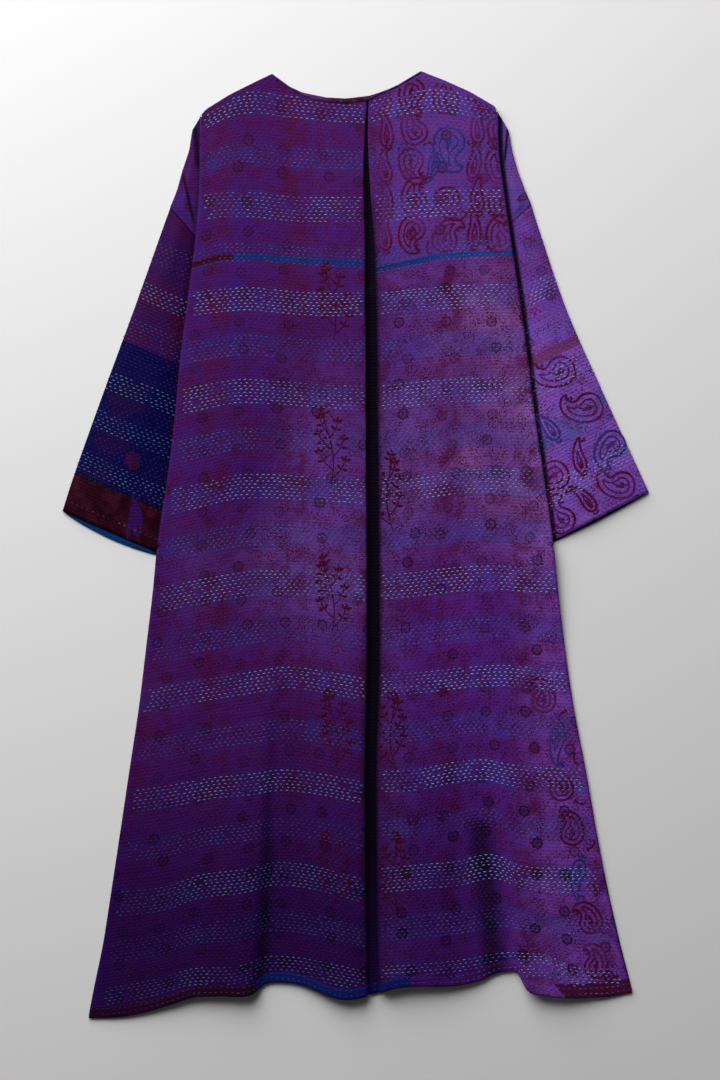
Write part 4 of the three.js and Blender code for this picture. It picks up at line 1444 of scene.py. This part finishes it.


# paint gives the dye, ink covers it, firm says how evenly, and shadedAs names the folds whose shade is
# painted on it
def silkMaterial(name, paint, sheen, ink=None, firm=0.5, byPlace=False, shadedAs=""):
    material, links, shader, c = newMaterial(name, byPlace or ink is not None)
    dye = paint(c)
    if ink:
        worn = firm + fade(c.noise(2.3, 2.0), 0.34, 0.46) * (1 - firm)
        patchy = firm + 0.12 + fade(c.noise(42.0, 2.0, shift=3.0), 0.38, 0.58) * (0.88 - firm)
        dye = mix(worn * patchy, dye, ink)
    # painted shade beside the folds along the arms, and in and beside the pleat
    if shadedAs == "back":
        right = fade(c.u, -5.0, 5.0)
        beside = foldShade(c, "left", True) * (1 - right) + foldShade(c, "right", True) * right
        dye = mix(beside.by("MAXIMUM", pleatShade(c)), dye, silk["shadow"])
    elif shadedAs:
        dye = mix(foldShade(c, shadedAs), dye, silk["shadow"])
    fibre = c.noise(0.9, 2.0, stretch=3.0, shift=5.0)
    upright = c.noise(1.0, 2.0, stretch=0.3, shift=6.0)
    links.new(scaled(dye, 0.58 + (fibre + upright) * 0.42), shader.inputs["Base Color"])
    rough = 0.5 + c.noise(14.0, 3.0, shift=9.0) * 0.22
    links.new(rough.socket, shader.inputs["Roughness"])
    shader.inputs["Sheen Weight"].default_value = sheen * 0.08
    shader.inputs["Sheen Roughness"].default_value = 0.45
    shader.inputs["Sheen Tint"].default_value = (0.75, 0.55, 1.0, 1.0)
    shader.inputs["Specular IOR Level"].default_value = 0.04
    # puckers between the stitches, rumples and weave
    row = (c.v - bands["first"]) / bands["row"]
    phase = c.u / bands["stitch"] + c.lot((row + 0.5).by("FLOOR")) * 0.9
    alongWave = 0.55 + (phase * (2 * math.pi)).by("SINE") * 0.45
    rowWave = (row * (2 * math.pi)).by("COSINE")
    pucker = alongWave * rowWave * (-0.25 - c.noise(30.0, 2.0, shift=12.0))
    rumple = c.noise(17.0, 4.0, stretch=1.6, shift=15.0) * 3.2
    weave = c.noise(0.7, 1.0, stretch=2.0, shift=18.0) * 0.35
    height = pucker * 0.55 + rumple + weave
    bump = c.make("ShaderNodeBump", {"Strength": 0.55, "Distance": 0.0006, "Height": height})
    links.new(bump, shader.inputs["Normal"])
    return material


paintedCreaseShades = [  # painted shade of the tucks on the strips beside the arms, and soft painted shade of folds near the hem
    {"a": (-212, 458), "b": (-196, 388), "half": 1.7, "deep": 0.92, "strip": True},
    {"a": (-196.5, 518), "b": (-192, 455), "half": 2.8, "deep": 0.9, "strip": True},
    {"a": (187, 520), "b": (181.5, 462), "half": 1.5, "deep": 0.95, "strip": True},
    {"a": (150, -330), "b": (174, -560), "half": 13.0, "deep": 0.7, "strip": False},
    {"a": (-103, -350), "b": (-112, -570), "half": 6.0, "deep": 0.45, "strip": False},
]


# painted shade along a crease, fading out at both ends
def creaseShade(c, crease):
    (ax, ay), (bx, by) = crease["a"], crease["b"]
    length = math.hypot(bx - ax, by - ay)
    dx, dy = (bx - ax) / length, (by - ay) / length
    x, y = c.x - ax, c.y - ay
    along = x * dx + y * dy
    across = (x * dy - y * dx).by("ABSOLUTE")
    ends = fade(along, 0.0, 12.0) * (1 - fade(along, length - 12, length))
    line = 1 - fade(across, 0.2 * crease["half"], 1.8 * crease["half"])
    return line * ends * crease["deep"]


hemDyes = [  # the stretches of the turned hem: from and to, how deep, how far the ends lean, dye
    {"from": -340.0, "to": -121.0, "deep": 14.0, "lean": 0.0, "dye": (0.018, 0.0014, 0.014)},
    {"from": -121.0, "to": 66.0, "deep": 14.0, "lean": 0.0, "dye": (0.0035, 0.010, 0.115)},
    {"from": 257.0, "to": 350.0, "deep": 18.0, "lean": -0.95, "dye": (0.060, 0.003, 0.028)},
]
glows = [  # lighter and bluer stretches of the back, across and up it: partly the silk's own colour, partly painted sheen
    {"u": (-38, 52, 90), "v": (40, 160, 170), "share": 0.8, "dye": (0.118, 0.040, 0.285)},
    {"u": (-50, 85, 90), "v": (-28, 50, 90), "share": 0.42, "dye": (0.170, 0.078, 0.370)},
    {"u": (-190, 30, 50), "v": (-30, 50, 80), "share": 0.4, "dye": (0.110, 0.042, 0.290)},
    {"u": (48, 38, 50), "v": (85, 85, 90), "share": 0.45, "dye": (0.200, 0.090, 0.420)},
    {"u": (-155, 55, 70), "v": (235, 190, 90), "share": 0.45, "dye": (0.030, 0.0065, 0.165)},
    {"u": (165, 225), "v": (95, 150, 90), "share": 0.65, "dye": (0.33, 0.140, 0.56)},
    {"u": (130, 75, 50), "v": (70, -90), "share": 0.75, "dye": (0.090, 0.011, 0.245)},
    {"u": (175, 240), "v": (60, -60), "share": 0.7, "dye": (0.240, 0.065, 0.500)},
]


def inShade(c, ground):  # painted shade: the left and the middle of the skirt are darkened near the hem
    aside = (1 - fade(c.u, 90.0, 280.0)) * (1 - fade(c.u, -60.0, 40.0) * 0.3)
    low = (1 - fade(c.v, -470.0, -120.0)) * aside
    return scaled(mix(low * 0.5, ground, silk["deep"]), 1 - low * 0.45)


def backDye(c):
    toRight = fade(c.u, -10.0, 60.0)
    ground = mix(toRight, silk["violet"], silk["lilac"])
    cloud = fade(c.noise(120.0), 0.38, 0.62)
    # painted sheen: a lighter cloud over the right of the back
    paintedSheen = fade(c.u, 40.0, 180.0) * near(c.v, 165.0, 150.0, 200.0) * (0.3 + cloud * 0.7)
    ground = mix(paintedSheen, ground, silk["glow"])
    for glow in glows:
        share = stretch(c.u, glow["u"]) * stretch(c.v, glow["v"]) * glow["share"]
        ground = mix(share, ground, glow["dye"])
    beyond = fade(c.mark("outside"), -0.3, 0.3)
    ground = mix(beyond * toRight * 0.75, ground, (0.150, 0.062, 0.330))
    # blue under the stitched bands
    first, pitch = bands["first"], bands["pitch"]
    bright = everyBand(c.v, first, pitch, bands["brightHalf"] + 2, 8.0)
    faint = everyBand(c.v, first + pitch / 2, pitch, bands["faintHalf"] + 3, 8.0)
    patches = fade(c.noise(60.0, 3.0, stretch=1.8, shift=2.0), 0.38, 0.6)
    bluish = (bright * 0.34 + faint * 0.36) * (0.35 + patches)
    blue = mix(toRight, silk["blue"], stronger(silk["blue"], 1.7))
    ground = mix(bluish.by("MINIMUM", 0.8), ground, blue)
    # wine stains and specks, fewer on the printed yoke
    clear = 1 - fade(c.u, 20.0, 40.0) * fade(c.v, 345.0, 365.0) * 0.72
    columns = everyBand(c.u, 115.0, 95.0, 17.0, 22.0)
    blots = fade(c.noise(34.0, 3.0, shift=4.0), 0.42, 0.6)
    stained = columns * (0.15 + blots) * (1 - faint * 0.7) * 0.68
    clouds = fade(c.noise(75.0, 3.0, stretch=1.4, shift=7.0), 0.5, 0.68) * 0.45
    wine = mix(toRight, silk["wine"], stronger(silk["wine"], 1.35))
    ground = mix(stained.by("MAXIMUM", clouds).by("MINIMUM", 0.8) * clear, ground, wine)
    ground = speckled(c, ground, silk["wine"], 0.6)
    fine = fade(c.noise(2.1, 2.0, shift=31.0), 0.47, 0.57)
    where = 0.22 + fade(c.noise(22.0, 3.0, stretch=0.7, shift=33.0), 0.40, 0.60)
    specks = fine * where * clear * (1 - beyond * 0.6)
    ground = mix(specks * 0.8, ground, (0.066, 0.0012, 0.028))
    rings = ringFlowers(c, 0.0)
    ground = inShade(c, mix(rings, ground, silk["ring"]))
    # painted shade: the rings are darkened further low on the skirt
    ground = mix(rings * 0.75 * (1 - fade(c.v, -420.0, -180.0)), ground, (0.007, 0.0004, 0.012))
    for crease in paintedCreaseShades:
        shade = creaseShade(c, crease)
        ground = mix(shade * beyond if crease["strip"] else shade, ground, silk["shadow"])
    # the inserted strip below the yoke, and the turned hem
    stripBlue = mix(fade(c.u, 50.0, 130.0), silk["insertBlue"], (0.014, 0.042, 0.240))
    stripDye = mix(fade(c.u, -150.0, -148.0), (0.036, 0.0010, 0.011), stripBlue)
    ground = mix(near(c.v, 355.0, 3.4, 1.0), ground, stripDye)
    fromHem = c.mark("fromHem")
    ragged = fromHem + c.noise(11.0, 2.0) * 3.0
    for turned in hemDyes:
        at = c.x - fromHem * turned["lean"]
        start, stop, deep = turned["from"], turned["to"], turned["deep"]
        along = fade(at, start - 1.0, start + 1.0) * (1 - fade(at, stop - 1.0, stop + 1.0))
        within = along * (1 - fade(ragged, deep, deep + 2.0))
        ground = mix(within * 0.92, ground, turned["dye"])
    return ground


def seamShade(c):  # painted shade in the groove of the armhole seam, and a fainter painted line of shade along the edge of its turning below
    fromSeam = c.mark("fromSeam")
    groove = (1 - fade(fromSeam, 0.6, 2.6)) * 0.8
    return groove.by("MAXIMUM", near(fromSeam, 7.5, 0.7, 1.2) * 0.3)


def leftSleeveDye(c):
    ground = mix(fade(c.noise(60.0), 0.4, 0.6), (0.025, 0.0024, 0.068), (0.038, 0.0022, 0.052))
    ground = speckled(c, ground, silk["maroon"], 0.8)
    ground = mix(ringFlowers(c, 0.4), ground, silk["ring"])
    navy = mix(fade(c.noise(45.0, 2.0, shift=3.0), 0.5, 0.68), silk["navy"], (0.009, 0.0010, 0.044))
    edge = c.v + c.noise(9.0, 2.0) * 2.0
    ground = mix(1 - fade(edge, 221.0, 224.0), ground, navy)
    cuff = mix(fade(c.noise(24.0, 2.0), 0.4, 0.65), silk["cuff"], (0.040, 0.004, 0.014))
    ground = mix(1 - fade(c.v, 47.6, 48.4), ground, cuff)
    ground = mix(near(c.v, 48.6, 1.0, 1.0), ground, (0.003, 0.002, 0.006))
    ground = mix(seamShade(c), ground, silk["shadow"])
    return mix(fade(c.v, -0.9, -0.5), (0.010, 0.085, 0.360), ground)


def rightSleeveDye(c):
    ground = mix(fade(c.noise(50.0), 0.38, 0.62), (0.185, 0.074, 0.500), (0.235, 0.086, 0.490))
    ground = mix(fade(c.v, 180.0, 320.0), ground, (0.125, 0.042, 0.320))
    bluish = near(c.v, 118.0, 18.0, 22.0) * fade(c.noise(40.0, 2.0, shift=2.0), 0.35, 0.6)
    ground = mix(bluish, ground, (0.090, 0.080, 0.400))
    pinkish = fade(c.noise(28.0, 3.0, shift=6.0), 0.52, 0.66) * 0.5
    ground = mix(pinkish, ground, (0.190, 0.040, 0.250))
    ground = speckled(c, ground, (0.11, 0.015, 0.07), 0.5)
    fine = fade(c.noise(2.1, 2.0, shift=31.0), 0.49, 0.58)
    where = 0.2 + fade(c.noise(20.0, 3.0, shift=33.0), 0.42, 0.60)
    ground = mix(fine * where * 0.8, ground, (0.080, 0.002, 0.034))
    ground = mix(ringFlowers(c, 0.3) * fade(c.v, 216.0, 222.0), ground, (0.050, 0.008, 0.040))
    strip = near(c.v + c.noise(14.0, 2.0) * 3.0, 207.0, 6.0, 2.5)
    ground = mix(strip * 0.8, ground, (0.150, 0.030, 0.110))
    ground = mix(seamShade(c), ground, silk["shadow"])
    return mix(fade(c.v, -0.9, -0.5), (0.004, 0.006, 0.055), ground)


def inkedDye(c):  # the cloth around a print, with the same painted shade low on the skirt
    return inShade(c, mix(fade(c.u, -10.0, 60.0), silk["violet"], silk["lilac"]))


def plainInkDye(c):
    return mix(fade(c.noise(12.0), 0.4, 0.6), silk["navy"], silk["cuff"])


def plainDye(c):
    ground = mix(fade(c.noise(50.0), 0.38, 0.62), silk["violet"], silk["wine"])
    return mix(everyBand(c.v, 0.0, 58.3, 14.0, 10.0), ground, silk["blue"])


def bindingDye(c):
    middle = fade(c.u, -50.0, -20.0) * (1 - fade(c.u, 12.0, 24.0))
    ends = mix(fade(c.noise(16.0), 0.4, 0.6), (0.055, 0.013, 0.115), (0.085, 0.020, 0.120))
    wine = mix(fade(c.noise(7.0, 2.0, shift=4.0), 0.52, 0.62), silk["maroon"], (0.02, 0.03, 0.16))
    return mix(middle, ends, wine)


def threadMaterial(name, bright, dull, share):
    material, links, shader, c = newMaterial(name, True)
    patches = c.number("ShaderNodeTexNoise", {"Vector": c.position, "Scale": 22.0, "Detail": 2.0})
    amount = fade(patches, share - 0.12, share + 0.14) + (c.mark("tone") - 0.5) * 0.7
    base = mix(c.number("ShaderNodeClamp", {0: amount}), dull, bright)
    waves = {"Vector": c.position, "Scale": 900.0}
    twist = c.number("ShaderNodeTexWave", waves, 1, bands_direction="DIAGONAL")
    # painted light and shade on the threads: brighter to the right, darker low on the left and at the far
    # left
    low = (1 - fade(c.y, -500.0, -180.0)) * (1 - fade(c.x, 80.0, 260.0))
    farLeftShade = (1 - fade(c.x, -230.0, -190.0)) * 0.32
    paintedLight = 0.95 + fade(c.x, 0.0, 120.0) * 0.35 - low * 0.45 - farLeftShade
    links.new(scaled(base, (0.8 + twist * 0.3) * paintedLight), shader.inputs["Base Color"])
    shader.inputs["Roughness"].default_value = 0.55
    return material


backSilk = silkMaterial("backSilk", backDye, 0.25, shadedAs="back")
plainSilk = silkMaterial("frontSilk", plainDye, 0.2)
sleeveSilk = {
    "left": silkMaterial("leftSleeveSilk", leftSleeveDye, 0.15, shadedAs="left"),
    "right": silkMaterial("rightSleeveSilk", rightSleeveDye, 0.25, shadedAs="right"),
}
bindingSilk = silkMaterial("bindingSilk", bindingDye, 0.2, byPlace=True)
threadDyes = {  # bright, dull, and the share of it that is dull
    "turquoise": ((0.17, 0.42, 0.58), (0.05, 0.12, 0.38), 0.46),
    "blue": ((0.05, 0.16, 0.42), (0.035, 0.035, 0.22), 0.50),
    "wine": ((0.085, 0.008, 0.045), (0.055, 0.010, 0.10), 0.5),
    "seam": ((0.10, 0.22, 0.30), (0.03, 0.03, 0.10), 0.5),
}
threads = {kind: threadMaterial(kind + "Thread", *dyes) for kind, dyes in threadDyes.items()}
back.data.materials.append(backSilk)
neckBinding.data.materials.append(bindingSilk)
for side in outwards:
    fronts[side].data.materials.append(plainSilk)
    sleeves[side].data.materials.append(sleeveSilk[side])

rowLines["seam"] = seamLines()
sewing = {
    "seam": {"Length": 3.2, "Width": 0.8, "Height": 0.6, "Kept": 0.96, "Rings": 3, "Seed": 29},
    "turquoise": {"Length": 3.8, "Width": 1.05, "Height": 0.75, "Kept": 0.97, "Rings": 3, "Seed": 3},
    "blue": {"Length": 3.5, "Width": 0.95, "Height": 0.6, "Kept": 0.95, "Rings": 3, "Seed": 11},
    "wine": {"Length": 3.4, "Width": 0.9, "Height": 0.5, "Kept": 0.9, "Rings": 2, "Seed": 19},
}
inks = {
    "wine": (0.082, 0.0010, 0.018),
    "maroon": (0.052, 0.0006, 0.011),
    "blue": (0.014, 0.022, 0.160),
    "violet": (0.034, 0.004, 0.095),
    "dull": (0.034, 0.003, 0.042),
}

inkLine = inkTree()
printPieces = []
for kind, entries in prints.items():
    surface = plainInkDye if kind in ("violet", "dull") else inkedDye
    firm = 0.85 if kind == "maroon" else 0.52
    material = silkMaterial("ink" + kind.capitalize(), surface, 0.1, inks[kind], firm)
    values = {"Width": 3.0 * mm, "Height": 0.12 * mm, "Ink": material}
    printPieces.append(grown("print" + kind.capitalize(), inkMesh(kind, entries), inkLine, values))
print("prints:", [len(p.data.polygons) for p in printPieces])

runningStitch = stitchTree()
stitches = []
for kind, look in sewing.items():
    values = {"Pitch": bands["stitch"] * mm, "Wander": 0.35 * mm, "Thread": threads[kind]}
    for key, value in look.items():
        values[key] = value * mm if key in ("Length", "Width", "Height") else value
    rows = lineMesh(kind, rowLines[kind])
    stitches.append(grown("stitches" + kind.capitalize(), rows, runningStitch, values))
    print("stitches:", kind, len(stitches[-1].data.polygons), "faces")

body = "root"
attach(back, body)
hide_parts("back")
for side, piece in fronts.items():
    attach(piece, body)
    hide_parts("front_" + side)
for side, piece in sleeves.items():
    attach(piece, body)
    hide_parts("sleeve_" + side)
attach(neckBinding, body)
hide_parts("neck_binding")
for piece in stitches:
    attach(piece, body)
for piece in printPieces:
    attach(piece, body)

# floor, light and camera
floorMaterial = bpy.data.materials.new("paleFloor")
floorMaterial.use_nodes = True
floorShader = floorMaterial.node_tree.nodes["Principled BSDF"]
floorShader.inputs["Base Color"].default_value = (0.86, 0.85, 0.85, 1)
floorShader.inputs["Roughness"].default_value = 0.8
floorMesh = bpy.data.meshes.new("floor")
floor = {"half": 6.0, "under": 0.0004}
floorCorners = [(x * floor["half"], y * floor["half"], 0) for x, y in ((-1, -1), (1, -1), (1, 1), (-1, 1))]
floorMesh.from_pydata(floorCorners, [], [(0, 1, 2, 3)])
floorPiece = bpy.data.objects.new("floor", floorMesh)
floorPiece.data.materials.append(floorMaterial)
bpy.context.collection.objects.link(floorPiece)
floorPiece.location.z = -floor["under"]

photo = {
    "width": 720, "height": 1080, "mmPerPixel": 1.22, "centreX": 355.5, "centreY": 545.0, "distance": 3.4,
    "sensor": 36, "aimHeight": 0.006,
}
lookAt = Vector((
    (photo["width"] / 2 - photo["centreX"]) * photo["mmPerPixel"] * mm,
    (photo["centreY"] - photo["height"] / 2) * photo["mmPerPixel"] * mm,
    photo["aimHeight"],
))
cameraData = bpy.data.cameras.new("camera")
camera = bpy.data.objects.new("camera", cameraData)
cameraData.sensor_width = photo["sensor"]
cameraData.lens = photo["sensor"] * photo["distance"] / (photo["height"] * photo["mmPerPixel"] * mm)
camera.location = lookAt + Vector((0, 0, photo["distance"]))
bpy.context.collection.objects.link(camera)
bpy.context.scene.camera = camera

lamps = [  # where, how wide and how bright each is; both face the same point
    {"name": "keyLight", "at": (-1.2, 2.3, 1.5), "size": 3.4, "power": 95},
    {"name": "softLight", "at": (-1.05, 2.25, 2.1), "size": 3.6, "power": 63},
]
lampAim = Vector((0, 0.1, 0))
for lamp in lamps:
    data = bpy.data.lights.new(lamp["name"], "AREA")
    data.shape = "DISK"
    data.size = lamp["size"]
    data.energy = lamp["power"]
    light = bpy.data.objects.new(lamp["name"], data)
    light.location = lamp["at"]
    light.rotation_euler = (lampAim - Vector(lamp["at"])).to_track_quat("-Z", "Y").to_euler()
    bpy.context.collection.objects.link(light)
world = bpy.data.worlds.new("studio")
world.use_nodes = True
world.node_tree.nodes["Background"].inputs["Color"].default_value = (1, 1, 1, 1)
world.node_tree.nodes["Background"].inputs["Strength"].default_value = 0.045
bpy.context.scene.world = world
bpy.context.scene.view_settings.view_transform = "Standard"

print("pieces ready")
